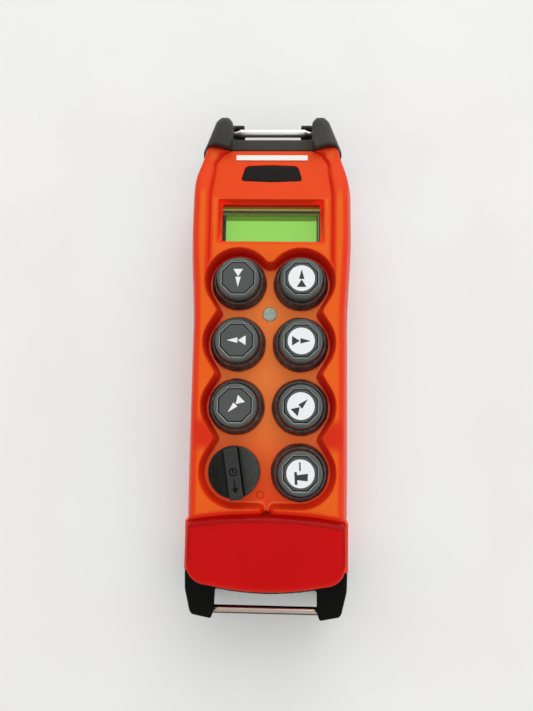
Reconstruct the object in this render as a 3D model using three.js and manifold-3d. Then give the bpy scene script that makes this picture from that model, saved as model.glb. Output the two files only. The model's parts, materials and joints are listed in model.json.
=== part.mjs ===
// Hand-held radio pendant control station with seven two-step push buttons, a rotary switch,
// a display and a wide stop bar. Millimetres, +Z up out of the face, +Y towards the display end.
// It lies on its back; the origin is the middle of the rectangle it covers, at the resting plane.
import * as THREE from "three";
import { mergeVertices } from "three/addons/utils/BufferGeometryUtils.js";
import Module from "manifold-3d";

const wasm = await Module();
wasm.setup();

// ---- driving dimensions ----
const LENGTH = 225.4; // over the two end bumpers
const HALF_LENGTH = LENGTH / 2;
const GAP = 0.3; // clearance between neighbouring pieces
const WALL = 2.5;

const BUTTON_PITCH = 28; // both along and across
const COLUMN_X = BUTTON_PITCH / 2;
const TOP_ROW_Y = 31.7;
const ROW_Y = [0, 1, 2, 3].map((row) => TOP_ROW_Y - row * BUTTON_PITCH);
const [KNOB_X, KNOB_Y] = [-COLUMN_X, ROW_Y[3]];
const LAMP_Y = TOP_ROW_Y - BUTTON_PITCH / 2;

const FLOOR_Z = 32; // keypad floor
const PANEL_Z = 38.6; // face round the display
const SEAM_Z = 18; // joint between the two housings
const SEAM_HALF_GAP = 0.4;
const TAIL_Y = -93; // ends of the housings, where the bumpers take over
const HEAD_Y = 95.7;
const HEAD_TOP_Z = 36.4;
const HEAD_SLANT = 0.15; // the head end leans out by this much per millimetre down to the seam
// How far the head end reaches out further at |x|, and the height from which it does so in full.
const SHOULDERS = [[0, 0], [20.8, 0], [25.6, 1.5], [29.3, 1.6], [33.5, -1.1]];
const SHOULDER_Z = 30;

// Keypad pocket at its floor and at its rim: radius of the lobe round one button, half-width
// between two rows, and radii of the noses that part the lobes at the sides and at the head end.
const POCKET_FLOOR = { lobeR: 13.4, neckX: 21.6, sideR: 2.2, noseR: 5 };
const POCKET_RIM = { lobeR: 15, neckX: 23.4, sideR: 2.2, noseR: 3 };
const DRAIN_HALF_X = 1.25;

const RECESS = { halfX: 24, y0: 49.4, y1: 70.1 }; // display recess at the face
const GLASS = { halfX: 22.6, y0: 51.5, y1: 69.7 }; // and at the window
const GLASS_Z = 34;
const LCD = { halfX: 21.3, y0: 53, y1: 65.7 }; // opening of the frame over the display
const HOOD_Y = RECESS.y1; // crease where the face starts to fall towards the head end
const HOOD_END_Z = 35.4;

const ROD_R = 1.9;
const ROD_Z = 29;
const ROD_HALF_LENGTH = 24.6; // of its hole; the rod itself is a gap shorter at each end
const HEAD_ROD_Y = 108.6;
const HEAD_ROD = { bodyX: 15.4, neckX: 17.6, neckR: 0.9 }; // its thick middle narrows to a neck at each end
const TAIL_ROD_Y = -109.5;
const TAIL_ROD_R = 1.65;

const TAB = { halfX: 12, z0: 21, z1: 25 }; // the tongue that holds the head bumper to the front housing
const HORN = { innerX: 18.8, footX: 20.8, footY: 98.5 };
const BRIDGE = { y: 102.2, z: 34.4 };
const LUG_INNER_X = 13.7;

const FACE_EDGE = { y: -69.6, radius: 191 }; // arc that ends the front housing above the stop bar
const STOP = {
  halfX: 32.8,
  topY: -70.1,
  bottomY: -100,
  topR: 185,
  bottomR: 120,
  topCorner: 2,
  bottomCorner: 8.5,
};
const STOP_TRAVEL = 4;
const STOP_BASE_Z = 33; // underside of the stop bar's skirt at rest
const STOP_TOP_Z = 40.5;
const STOP_FLOOR_Z = 26; // floor of the bay under the stop bar
const STOP_POST_X = 20;
const STOP_POST_Y = -83;
const STOP_SWITCH_TOP_Z = 20.9;

const CAP_R = 9.4;
const CAP_TOP_Z = FLOOR_Z + 10.4;
const CAP_BASE_Z = 36.4;
const STEM_END_Z = 26;
const KNOB_REST_DEG = 9; // how far the knob's pointer stands from straight down at rest

const BOARD = { halfX: 25.5, y0: -88, y1: 88, z0: 14.6, z1: 16.2 };
const BAY = { halfX: 24.5, y0: -48, y1: 28, depth: 12 }; // battery bay, open at the back
const LATCH = { halfX: 8.4, y1: BAY.y1 + 6, z1: 3, travel: 3 };
const CONTACTS = { halfX: 7, y: 18 };
const BOSSES = [-1, 1].flatMap((side) => [-60, 82].map((y) => ({ x: side * 29.4, y })));

// ---- materials ----
const finish = (color, roughness, metalness = 0) =>
  new THREE.MeshStandardMaterial({ color, roughness, metalness });
const ORANGE = finish(0xe8561c, 0.42);
const RED = finish(0xc91518, 0.4);
const BLACK = finish(0x1d1d1b, 0.6);
const RUBBER = finish(0x2a2a28, 0.75);
const CAP_GREY = finish(0x4a4e4c, 0.55);
const WHITE = finish(0xeceef0, 0.5);
const STEEL = finish(0xc8c8c6, 0.25, 1);
const CLEAR = finish(0xd8e4d8, 0.08);
const LCD_GREEN = finish(0x97cf5c, 0.4);
const BOARD_GREEN = finish(0x1f5a34, 0.5);

// ---- geometry helpers ----
const smooth = (t) => {
  const s = Math.min(1, Math.max(0, t));
  return s * s * (3 - 2 * s);
};

// Value at y of a curve through [y, value] knots, easing from one knot to the next.
function through(knots, y) {
  const next = knots.findIndex(([at]) => at >= y);
  if (next < 0) return knots.at(-1)[1];
  if (next === 0) return knots[0][1];
  const [[y0, a], [y1, b]] = [knots[next - 1], knots[next]];
  return a + (b - a) * smooth((y - y0) / (y1 - y0));
}

// Closed body through rings of [x, y, z] points, all with the same number of points.
// axis is the direction the rings are stacked along: "y" or "z".
function loft(rings, axis = "z") {
  const count = rings[0].length;
  const flat = (ring) => ring.map(([x, y, z]) => new THREE.Vector2(x, axis === "z" ? y : z));
  const turned = THREE.ShapeUtils.isClockWise(flat(rings[0]))
    ? rings.map((ring) => [...ring].reverse())
    : rings;
  const faces = [];
  for (let r = 0; r < turned.length - 1; r++) {
    for (let i = 0; i < count; i++) {
      const a = r * count + i;
      const b = r * count + ((i + 1) % count);
      faces.push([a, b, b + count], [a, b + count, a + count]);
    }
  }
  const last = (turned.length - 1) * count;
  for (const [a, b, c] of THREE.ShapeUtils.triangulateShape(flat(turned[0]), [])) faces.push([c, b, a]);
  for (const [a, b, c] of THREE.ShapeUtils.triangulateShape(flat(turned.at(-1)), []))
    faces.push([last + a, last + b, last + c]);
  // A right-handed stack along z faces out as built; along y it has to be turned round.
  const index = faces.flatMap((face) => (axis === "z" ? face : [...face].reverse()));
  const geometry = new THREE.BufferGeometry();
  geometry.setAttribute("position", new THREE.Float32BufferAttribute(turned.flat(2), 3));
  geometry.setIndex(index);
  return geometry;
}

const atHeight = (points, z) => points.map(([x, y]) => [x, y, typeof z === "function" ? z(x, y) : z]);
const prism = (points, z0, z1) => loft([atHeight(points, z0), atHeight(points, z1)]);

function block(x0, x1, y0, y1, z0, z1) {
  return new THREE.BoxGeometry(x1 - x0, y1 - y0, z1 - z0).translate(
    (x0 + x1) / 2,
    (y0 + y1) / 2,
    (z0 + z1) / 2,
  );
}

function post(x, y, radius, z0, z1, segments = 24) {
  return new THREE.CylinderGeometry(radius, radius, z1 - z0, segments)
    .rotateX(Math.PI / 2)
    .translate(x, y, (z0 + z1) / 2);
}

function rodAlongX(y, z, radius, x0, x1, segments = 20) {
  return new THREE.CylinderGeometry(radius, radius, x1 - x0, segments)
    .rotateZ(Math.PI / 2)
    .translate((x0 + x1) / 2, y, z);
}

// Turned piece about +Z from [radius, z] points that start and end on the axis or close on themselves.
function turned(profile, segments = 28) {
  const points = profile.map(([radius, z]) => new THREE.Vector2(radius, z));
  return new THREE.LatheGeometry(points, segments).rotateX(Math.PI / 2);
}

// Points of an arc about (cx, cy), from one angle to another in degrees.
function arc(cx, cy, radius, from, to, steps) {
  return Array.from({ length: steps + 1 }, (_, i) => {
    const angle = THREE.MathUtils.degToRad(from + ((to - from) * i) / steps);
    return [cx + radius * Math.cos(angle), cy + radius * Math.sin(angle)];
  });
}

const mirrored = (points) => points.map(([x, y]) => [-x, y]).reverse();

function toSolid(geometry) {
  const bare = new THREE.BufferGeometry();
  bare.setAttribute("position", geometry.getAttribute("position"));
  if (geometry.index) bare.setIndex(geometry.index);
  const merged = mergeVertices(bare, 1e-4);
  return new wasm.Manifold(
    new wasm.Mesh({
      numProp: 3,
      vertProperties: merged.attributes.position.array,
      triVerts: new Uint32Array(merged.index.array),
    }),
  );
}

function toGeometry(body) {
  const mesh = body.getMesh();
  const geometry = new THREE.BufferGeometry();
  geometry.setAttribute("position", new THREE.BufferAttribute(mesh.vertProperties, 3));
  geometry.setIndex(new THREE.BufferAttribute(mesh.triVerts, 1));
  geometry.computeVertexNormals();
  return geometry;
}

const join = (first, ...rest) => rest.reduce((body, g) => body.add(toSolid(g)), toSolid(first));
const cut = (body, ...tools) => tools.reduce((left, g) => left.subtract(toSolid(g)), body);

// ---- the part's group ----
const station = new THREE.Group();
station.name = "pendant_control_station";

function add(name, geometry, material, position = [0, 0, 0], turn = 0) {
  const mesh = new THREE.Mesh(geometry, material);
  mesh.name = name;
  mesh.position.set(...position);
  mesh.rotation.z = turn;
  station.add(mesh);
  return mesh;
}

// ---- outer form of the housings ----
// Half-width of the body at its seam, and height of its side rails, along Y.
const HALF_WIDTH = [
  [-112, 33.4],
  [-93, 35.4],
  [-40, 36],
  [10, 36.3],
  [60, 38.5],
  [78, 38.5],
  [100, 34],
  [112, 29],
];
const RAIL_Z = [[-45, 37.6], [-28, 39], [HOOD_Y, 39.4], [HEAD_Y, HEAD_TOP_Z]];
const halfWidth = (y) => through(HALF_WIDTH, y);
const railZ = (y) => through(RAIL_Z, y);
const hoodZ = (y) => PANEL_Z + ((HOOD_END_Z - PANEL_Z) * (y - HOOD_Y)) / (HEAD_Y - HOOD_Y);
const SEAM_HEAD_Y = HEAD_Y + HEAD_SLANT * (HEAD_TOP_Z - SEAM_Z);
const FRONT_STATIONS = [-75, -58, -45, -36.5, -28, 0, 30, 48, 60, HOOD_Y, 79, 86, 91];
const REAR_STATIONS = [TAIL_Y, -60, -28, 0, 30, 60, 79, 88];

// One cross-section from its right half, given as [x, z] points.
const section = (half, y) => [...half, ...mirrored(half)].map(([x, z]) => [x, y, z]);

function frontSection(y) {
  const [w, top] = [halfWidth(y), railZ(y)];
  const flank = [[w, SEAM_Z + SEAM_HALF_GAP], [w - 0.3, 24], [w - 3.2, top - 2]];
  return section([...flank, [w - 4, top - 0.7], [w - 5.6, top]], y);
}

function rearSection(y) {
  const w = halfWidth(y);
  return section([[w, SEAM_Z - SEAM_HALF_GAP], [w - 0.6, 10], [w - 3, 4.4], [w - 7, 1.2], [w - 13, 0]], y);
}

// The inner cavity keeps clear of the outer form by the wall, and stops short of both ends.
function cavity(z0, z1, y0, y1, taper) {
  const inset = WALL + 0.6;
  const ring = (y) => section([[halfWidth(y) - inset, z0], [halfWidth(y) - inset - taper, z1]], y);
  return loft([y0, ...REAR_STATIONS.filter((y) => y > y0 && y < y1), y1].map(ring), "y");
}

// Everything beyond the leaning head end with its two shoulders, set out by a clearance.
function beyondHead(clearance) {
  const right = [20.8, 23.2, 25.6, 29.3, 31.4, 33.5, 42];
  const ring = (z) => {
    const rise = Math.min(1, Math.max(0, (z - SEAM_Z) / (SHOULDER_Z - SEAM_Z)));
    const lean = HEAD_SLANT * (HEAD_TOP_Z - Math.max(z, SEAM_Z));
    const edge = right.map((x) => [x, HEAD_Y + clearance + lean + rise * through(SHOULDERS, x)]);
    return atHeight([...edge, [42, 130], ...mirrored([...edge, [42, 130]])], z);
  };
  return loft([-1, SEAM_Z, SHOULDER_Z, 50].map(ring));
}

// ---- keypad pocket ----
// Outline with a lobe round each button, joined by rounded noses at the sides and at the head end.
function pocketOutline({ lobeR, neckX, sideR, noseR }) {
  const [across, along] = [neckX + sideR - COLUMN_X, BUTTON_PITCH / 2];
  const tangent = Math.acos((lobeR + sideR) / Math.hypot(across, along));
  const sideTurn = THREE.MathUtils.radToDeg(Math.atan2(along, across) - tangent);
  const noseRise = Math.sqrt((lobeR + noseR) ** 2 - COLUMN_X ** 2);
  const noseTurn = THREE.MathUtils.radToDeg(Math.atan2(noseRise, COLUMN_X));
  const right = arc(0, TOP_ROW_Y + noseRise, noseR, -90, -noseTurn, 3).slice(0, -1);
  ROW_Y.forEach((y, row) => {
    const [first, last] = [row === 0, row === ROW_Y.length - 1];
    const [from, to] = [first ? 180 - noseTurn : sideTurn, last ? -90 : -sideTurn];
    right.push(...arc(COLUMN_X, y, lobeR, from, to, first ? 13 : 8));
    if (!last) right.push(...arc(neckX + sideR, y - along, sideR, 180 - sideTurn, 180 + sideTurn, 3));
  });
  return [...right, ...mirrored(right.slice(1))];
}

const keypadPocket = () => {
  const [floor, rim] = [pocketOutline(POCKET_FLOOR), pocketOutline(POCKET_RIM)];
  return loft([atHeight(floor, FLOOR_Z), atHeight(rim, PANEL_Z + 0.4), atHeight(rim, 50)]);
};

// ---- stop bar outline, grown by a margin ----
function stopOutline(grow) {
  const w = STOP.halfX + grow;
  const topY = (x) => STOP.topY + grow - STOP.topR + Math.sqrt(STOP.topR ** 2 - x ** 2);
  const bottomY = (x) => STOP.bottomY - grow + STOP.bottomR - Math.sqrt(STOP.bottomR ** 2 - x ** 2);
  const topC = STOP.topCorner;
  const bottomC = STOP.bottomCorner + grow;
  const right = [
    ...[0, 10, 20].map((x) => [x, topY(x)]),
    ...arc(w - topC, topY(w - topC) - topC, topC, 75, 0, 3),
    ...arc(w - bottomC, bottomY(w - bottomC) + bottomC, bottomC, 0, -75, 4),
    ...[16, 8, 0].map((x) => [x, bottomY(x)]),
  ];
  return [...right, ...mirrored(right.slice(1, -1))];
}

// ---- front housing ----
// Everything below the arc that ends the face, so that the stop bar's housing can take over.
function belowFaceEdge(clearance) {
  const { y: edgeY, radius } = FACE_EDGE;
  const edge = (x) => edgeY - clearance - radius + Math.sqrt(radius ** 2 - x ** 2);
  const across = [-42, -28, -14, 0, 14, 28, 42].map((x) => [x, edge(x)]);
  return [...across, [42, TAIL_Y - 5], [-42, TAIL_Y - 5]];
}

const rectangle = (halfX, y0, y1) => [[-halfX, y0], [halfX, y0], [halfX, y1], [-halfX, y1]];

// Space above the panel between the two side rails.
function abovePanel() {
  const ring = (halfX, y) => {
    const z = y > HOOD_Y ? hoodZ(y) : PANEL_Z;
    return [[halfX, y, z], [halfX, y, 50], [-halfX, y, 50], [-halfX, y, z]];
  };
  const crown = [ring(28.6, 42), ring(28.8, HOOD_Y)];
  const nose = [ring(27.2, 88), ring(24.8, 93), ring(19.5, HEAD_Y + 1)];
  return loft([...crown, ...nose], "y");
}

function buildFrontHousing() {
  const outer = toSolid(loft([...FRONT_STATIONS, HEAD_Y, HEAD_Y + 4].map(frontSection), "y"));
  const hollow = cut(
    outer,
    prism(belowFaceEdge(0), 0, 60),
    beyondHead(0),
    cavity(SEAM_Z, FLOOR_Z - WALL, FACE_EDGE.y + 2 * WALL, HEAD_Y - WALL, 2.5),
    block(-29, 29, 48, HEAD_Y - WALL - 1, FLOOR_Z - WALL - 1, 32.8),
  );
  const bossed = BOSSES.reduce(
    (body, { x, y }) => body.add(toSolid(post(x, y, 3.4, SEAM_Z + SEAM_HALF_GAP, 30, 16))),
    hollow,
  );
  const glass = rectangle(GLASS.halfX, GLASS.y0, GLASS.y1);
  const recess = rectangle(RECESS.halfX, RECESS.y0, RECESS.y1);
  const displayOpening = [
    atHeight(glass, 29),
    atHeight(glass, GLASS_Z),
    atHeight(recess, PANEL_Z),
    atHeight(recess, 50),
  ];
  const buttonHoles = ROW_Y.flatMap((y) => [-COLUMN_X, COLUMN_X].map((x) => post(x, y, 5.6, 25, 36, 16)));
  return cut(
    bossed,
    abovePanel(),
    keypadPocket(),
    loft(displayOpening),
    block(-DRAIN_HALF_X, DRAIN_HALF_X, FACE_EDGE.y - 5, ROW_Y[3] - 10, FLOOR_Z, 50),
    ...buttonHoles,
    ...BOSSES.map(({ x, y }) => post(x, y, 1.7, SEAM_Z - 1, 27.5, 10)),
    post(0, LAMP_Y, 3.5, 25, 36, 16),
    prism(irOutline(GAP), 30, 50),
    block(-TAB.halfX, TAB.halfX, HEAD_Y - WALL - 1, HEAD_Y + 5, TAB.z0, TAB.z1),
  );
}

// ---- housing of the stop bar ----
function buildStopHousing() {
  const ring = (y) => {
    const w = halfWidth(y);
    const flank = [[w, SEAM_Z + SEAM_HALF_GAP], [w - 0.3, 26], [w - 0.6, 31.8]];
    return section([...flank, [w - 1.2, STOP_BASE_Z]], y);
  };
  const outer = toSolid(loft([TAIL_Y, -85, -76, -66].map(ring), "y"));
  const trimmed = outer.intersect(toSolid(prism(belowFaceEdge(GAP), 0, 60)));
  const holes = [-STOP_POST_X, 0, STOP_POST_X].map((x) => post(x, STOP_POST_Y, 3.4, 20, 30, 16));
  const bayX = STOP.halfX + 0.5;
  return cut(
    trimmed,
    prism(stopOutline(0.5), STOP_FLOOR_Z, 50),
    block(-bayX, bayX, STOP.topY - 5, FACE_EDGE.y + 1, STOP_FLOOR_Z, 50), // the bay's open head side
    cavity(SEAM_Z, STOP_FLOOR_Z - WALL, TAIL_Y + WALL, FACE_EDGE.y - 2 * WALL, 0.5),
    ...holes,
  );
}

// ---- rear housing ----
function buildRearHousing() {
  const shell = toSolid(loft([...REAR_STATIONS, SEAM_HEAD_Y].map(rearSection), "y"));
  const hollow = cut(shell, cavity(4.5, SEAM_Z + 1, TAIL_Y + WALL, HEAD_Y - 0.5, 0));
  const bayWall = 1.8;
  const [bx, by0, by1] = [BAY.halfX + bayWall, BAY.y0 - bayWall, BAY.y1 + bayWall];
  const bossed = BOSSES.reduce(
    (body, { x, y }) => body.add(toSolid(post(x, y, 3.6, 3.5, SEAM_Z - SEAM_HALF_GAP, 16))),
    hollow.add(toSolid(block(-bx, bx, by0, by1, 2, BAY.depth + bayWall))),
  );
  const counterbores = BOSSES.flatMap(({ x, y }) => [post(x, y, 3, -1, 7, 14), post(x, y, 1.7, 6, 20, 10)]);
  return cut(
    bossed,
    block(-BAY.halfX, BAY.halfX, BAY.y0, BAY.y1, -1, BAY.depth),
    block(-9, 9, BAY.y1 - 1, LATCH.y1 + LATCH.travel + GAP, -1, LATCH.z1 + GAP), // latch recess
    block(-CONTACTS.halfX - GAP, CONTACTS.halfX + GAP, CONTACTS.y - 2, CONTACTS.y + 2, BAY.depth - 1, 16),
    ...counterbores,
  );
}

// ---- seal between the housings ----
function seamOutline(inset) {
  const inner = REAR_STATIONS.filter((y) => y > TAIL_Y + 3);
  const ends = [TAIL_Y + inset, SEAM_HEAD_Y - inset];
  const right = [ends[0], ...inner, ends[1]].map((y) => [halfWidth(y) - inset, y]);
  return [...right, ...mirrored(right)];
}

function buildGasket() {
  const half = SEAM_HALF_GAP - 0.15;
  return cut(
    toSolid(prism(seamOutline(0.9), SEAM_Z - half, SEAM_Z + half)),
    prism(seamOutline(2.3), SEAM_Z - 1, SEAM_Z + 1),
  );
}

// ---- head bumper: a bridge between two horns, with a rod for a strap ----
// Outline at one height: how wide it starts, how far out its tips are, and how far they are set back.
function headOutline(startX, tipX, setback) {
  const right = [
    [0, HEAD_Y - 4],
    [startX, HEAD_Y - 4],
    [startX - 0.5, HEAD_Y + 3],
    [tipX + 1.2, HALF_LENGTH - 2.1 - setback],
    [tipX - 1, HALF_LENGTH - setback],
    [HORN.innerX + 2, HALF_LENGTH - setback],
    [HORN.innerX, HALF_LENGTH - 2.3 - setback],
    [HORN.innerX, BRIDGE.y],
    [0, BRIDGE.y],
  ];
  return [...right, ...mirrored(right.slice(1, -1))];
}

function buildHeadBumper() {
  const outlines = [
    [0.8, 31, 23.5, 1.6],
    [7, 34, 26, 0],
    [SEAM_Z, 34.6, 26.8, 0],
    [30, 33.6, 26.6, 0.1],
    [36.6, 31, 25.4, 0.6],
    [38.8, 29.6, 24.4, 2],
    [39.9, 27.4, 23.2, 3.9],
  ].map(([z, startX, tipX, setback]) => atHeight(headOutline(startX, tipX, setback), z));
  const right = [[HORN.footX, HEAD_Y - 3], [HORN.innerX, HORN.footY], [HORN.innerX, HALF_LENGTH + 5]];
  const betweenHorns = prism([...right, ...mirrored(right)], BRIDGE.z, 50);
  const lowered = cut(toSolid(loft(outlines)).intersect(toSolid(beyondHead(GAP))), betweenHorns);
  const lugs = [-1, 1].map((side) => {
    const [x0, x1] = [LUG_INNER_X, HORN.innerX + 1].map((x) => side * x).sort((a, b) => a - b);
    const far = block(x0, x1, HEAD_ROD_Y + ROD_R + GAP, HALF_LENGTH - 0.4, 23, ROD_Z + 1.4);
    const under = block(x0, x1, BRIDGE.y - 1, HALF_LENGTH - 0.4, 23, ROD_Z - ROD_R - GAP);
    return toSolid(far).add(toSolid(under));
  });
  const tabX = TAB.halfX - GAP;
  const tongue = block(-tabX, tabX, HEAD_Y - WALL, BRIDGE.y - 2, TAB.z0 + GAP, TAB.z1 - GAP);
  const whole = lugs.reduce((body, lug) => body.add(lug), lowered.add(toSolid(tongue)));
  return cut(whole, rodAlongX(HEAD_ROD_Y, ROD_Z, HEAD_ROD.neckR + GAP, -ROD_HALF_LENGTH, ROD_HALF_LENGTH));
}

// ---- tail bumper: cups the end of the body and carries the other rod between two ears ----
// Outline at one height: how wide it starts, half the space between its ears, and how far their
// tips are set back. Between the ears its edge follows the stop bar, standing a little proud of it.
function tailOutline(startX, innerX, setback) {
  const bridge = (x) => STOP.bottomY - 2.3 + STOP.bottomR - Math.sqrt(STOP.bottomR ** 2 - x ** 2);
  const right = [
    [0, TAIL_Y - GAP],
    [startX, TAIL_Y - GAP],
    [startX - 0.3, -101],
    [startX - 2.6, -110 + setback],
    [startX - 3.6, -111.2 + setback],
    [innerX + 1.2, -HALF_LENGTH + setback],
    [innerX, -109.3 + setback],
    ...[innerX, 14, 7, 0].map((x) => [x, bridge(x)]),
  ];
  return [...right, ...mirrored(right.slice(1, -1))];
}

function buildTailBumper() {
  const outlines = [
    [0.8, 32, 24.6, 1.4],
    [7, 34.6, 24, 0],
    [24, 34.9, 22.2, 0],
    [31.6, 34.4, 21.5, 0],
    [STOP_BASE_Z, 33.9, 21.3, 0.7],
  ].map(([z, startX, innerX, setback]) => atHeight(tailOutline(startX, innerX, setback), z));
  return cut(
    toSolid(loft(outlines)),
    prism(stopOutline(0.5), STOP_FLOOR_Z, 50),
    rodAlongX(TAIL_ROD_Y, ROD_Z, TAIL_ROD_R + GAP, -ROD_HALF_LENGTH, ROD_HALF_LENGTH),
  );
}

// ---- display, lamp and labels ----
// Trapezoid of the infrared window in plan, grown by a margin.
function irOutline(grow) {
  const right = [
    [0, 88 + grow],
    [10.4, 87.6 + grow],
    [12 + grow, 86.4 + grow],
    [14.1 + grow, 81 - grow],
    [13.2 + grow, 79.9 - grow],
    [0, 79.2 - grow],
  ];
  return [...right, ...mirrored(right.slice(1, -1))];
}

function buildDisplay() {
  const centerY = (GLASS.y0 + GLASS.y1) / 2;
  const around = (halfX, halfY, z0, z1) => block(-halfX, halfX, centerY - halfY, centerY + halfY, z0, z1);
  add("display_window", around(25, 11.3, 30.6, 32.4), CLEAR);
  const opening = block(-LCD.halfX, LCD.halfX, LCD.y0, LCD.y1, 28, 32);
  const frame = cut(toSolid(around(25, 11.3, 29.2, 30.3)), opening);
  add("display_frame", toGeometry(frame), BLACK);
  const leg = (x, dy) => post(x, centerY + dy, 1.5, BOARD.z1 + GAP, 25, 8);
  const legs = [-23, 23].flatMap((x) => [leg(x, -9), leg(x, 9)]);
  add("display_module", toGeometry(join(around(25.4, 11.6, 24, 28.9), ...legs)), LCD_GREEN);
}

function buildFaceTrim() {
  const onHood = (lift) => (x, y) => hoodZ(y) + lift;
  const window = loft([atHeight(irOutline(0), 33), atHeight(irOutline(0), onHood(-0.1))]);
  add("infrared_window", window, BLACK);
  const label = rectangle(16.7, 90.6, 93.3);
  add("label_plate", loft([atHeight(label, onHood(0.15)), atHeight(label, onHood(0.6))]), WHITE);
  const stem = [[0, 18.5], [1.8, 18.5], [1.8, 29]];
  const lens = turned([...stem, [3.15, 29], [3.15, 32.1], [2.3, 32.5], [0, 32.7]], 16);
  add("lamp_lens", lens, CLEAR, [0, LAMP_Y, 0]);
  add("status_lamp", block(-1.5, 1.5, LAMP_Y - 1.5, LAMP_Y + 1.5, BOARD.z1 + GAP, 18.2), WHITE);
}

// ---- push buttons ----
// [x, y, true for a white legend, false for a black one]
const BUTTONS = [
  [-COLUMN_X, ROW_Y[0], false],
  [COLUMN_X, ROW_Y[0], true],
  [-COLUMN_X, ROW_Y[1], false],
  [COLUMN_X, ROW_Y[1], true],
  [-COLUMN_X, ROW_Y[2], false],
  [COLUMN_X, ROW_Y[2], true],
  [COLUMN_X, ROW_Y[3], true],
];

// Eight-sided plate, given half its width across the flats.
function octagon(halfFlats, z0, z1) {
  return prism(arc(0, 0, halfFlats / Math.cos(Math.PI / 8), 22.5, 337.5, 7), z0, z1);
}

// Cap turned about its stem, with a shallow octagonal seat for the legend plate.
function buildCap() {
  const form = turned([
    [0, STEM_END_Z],
    [3, STEM_END_Z],
    [3, CAP_BASE_Z],
    [CAP_R, CAP_BASE_Z],
    [CAP_R, CAP_TOP_Z - 1.2],
    [CAP_R - 1.1, CAP_TOP_Z],
    [0, CAP_TOP_Z],
  ]);
  return toGeometry(cut(toSolid(form), octagon(7.1, CAP_TOP_Z - 1.2, CAP_TOP_Z + 1)));
}

// Rubber boot that stands on the keypad floor round the cap.
function buildBoot() {
  const [z0, z1] = [FLOOR_Z + GAP, CAP_BASE_Z + 1.4];
  return turned([[9.8, z0], [12.45, z0], [12.45, z0 + 1.2], [10.6, z1], [9.8, z1], [9.8, z0]], 20);
}

// Switch on the board, bored for the stem above it.
function buildSwitch(bore) {
  const body = block(-6.8, 6.8, -6.8, 6.8, BOARD.z1 + GAP, STEM_END_Z + 1);
  return toGeometry(cut(toSolid(body), post(0, 0, bore, STEM_END_Z - 5, 30, 12)));
}

function buildButtons() {
  const legend = () => octagon(6.8, CAP_TOP_Z - 0.9, CAP_TOP_Z - 0.1);
  BUTTONS.forEach(([x, y, white], index) => {
    const [number, place] = [index + 1, [x, y, 0]];
    add(`button_cap_${number}`, buildCap(), CAP_GREY, place);
    add(`button_legend_${number}`, legend(), white ? WHITE : BLACK, place);
    add(`button_boot_${number}`, buildBoot(), RUBBER, place);
    add(`button_switch_${number}`, buildSwitch(3.4), BLACK, place);
  });
}

// ---- rotary switch ----
function buildKnob() {
  const base = FLOOR_Z + 0.8;
  const stem = [[0, STEM_END_Z], [2.4, STEM_END_Z], [2.4, base]];
  const disc = turned([...stem, [11, base], [11, 38.6], [10.4, 39.4], [0, 39.4]], 28);
  const grip = block(-2.9, 2.9, -11.1, 10, 36, CAP_TOP_Z);
  const knob = toGeometry(join(disc, grip));
  add("rotary_knob", knob, BLACK, [KNOB_X, KNOB_Y, 0], THREE.MathUtils.degToRad(KNOB_REST_DEG));
  add("rotary_switch", buildSwitch(2.8), BLACK, [KNOB_X, KNOB_Y, 0]);
}

// ---- stop bar ----
function buildStopBar() {
  const crown = loft([
    atHeight(stopOutline(0), STOP_BASE_Z),
    atHeight(stopOutline(0), STOP_TOP_Z - 1.6),
    atHeight(stopOutline(-1.6), STOP_TOP_Z),
  ]);
  const hollow = cut(toSolid(crown), prism(stopOutline(-2.4), STOP_BASE_Z - 1, STOP_TOP_Z - WALL));
  const postEnds = [
    [-STOP_POST_X, 21],
    [0, STOP_SWITCH_TOP_Z + STOP_TRAVEL + GAP],
    [STOP_POST_X, 21],
  ];
  const posts = postEnds.map(([x, z]) => toSolid(post(x, STOP_POST_Y, 3, z, STOP_TOP_Z - 1, 16)));
  const bar = posts.reduce((body, one) => body.add(one), hollow);
  add("stop_bar", toGeometry(bar), RED);
  const switchBody = block(-8, 8, STOP_POST_Y - 4, STOP_POST_Y + 4, BOARD.z1 + GAP, STOP_SWITCH_TOP_Z);
  add("stop_switch", switchBody, BLACK);
  for (const [side, x] of [["left", -STOP_POST_X], ["right", STOP_POST_X]])
    add(`stop_spring_${side}`, buildSpring(), STEEL, [x, STOP_POST_Y, 0]);
}

// Compression spring round one guide post, at the length it has with the bar down.
function buildSpring() {
  const [coilR, wireR, coils, steps] = [4.4, 0.45, 4, 10];
  const [z0, z1] = [STOP_FLOOR_Z + GAP + wireR, STOP_TOP_Z - WALL - STOP_TRAVEL - GAP - wireR];
  const count = coils * steps;
  const points = Array.from({ length: count + 1 }, (_, i) => {
    const angle = (2 * Math.PI * i) / steps;
    const z = z0 + ((z1 - z0) * i) / count;
    return new THREE.Vector3(coilR * Math.cos(angle), coilR * Math.sin(angle), z);
  });
  const wire = new THREE.Shape(arc(0, 0, wireR, 0, 288, 4).map(([x, y]) => new THREE.Vector2(x, y)));
  return new THREE.ExtrudeGeometry(wire, { steps: count, extrudePath: new THREE.CatmullRomCurve3(points) });
}

// ---- electronics and battery ----
function buildElectronics() {
  add("main_board", block(-BOARD.halfX, BOARD.halfX, BOARD.y0, BOARD.y1, BOARD.z0, BOARD.z1), BOARD_GREEN);
  const onBoard = BOARD.z1 + GAP;
  add("radio_module", block(-22, -2, 74.5, 86, onBoard, 20), STEEL);
  const coil = new THREE.CylinderGeometry(2.2, 2.2, 40, 12).rotateZ(Math.PI / 2).translate(0, 84, 25);
  add("antenna", toGeometry(join(coil, block(14, 17, 83, 85, onBoard, 25))), BLACK);
  const sounder = turned([[0, 0], [5.5, 0], [5.5, 5], [1, 5], [0.9, 4.4], [0, 4.4]], 16);
  add("buzzer", sounder, BLACK, [0, (ROW_Y[2] + ROW_Y[3]) / 2, onBoard]);
}

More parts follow.
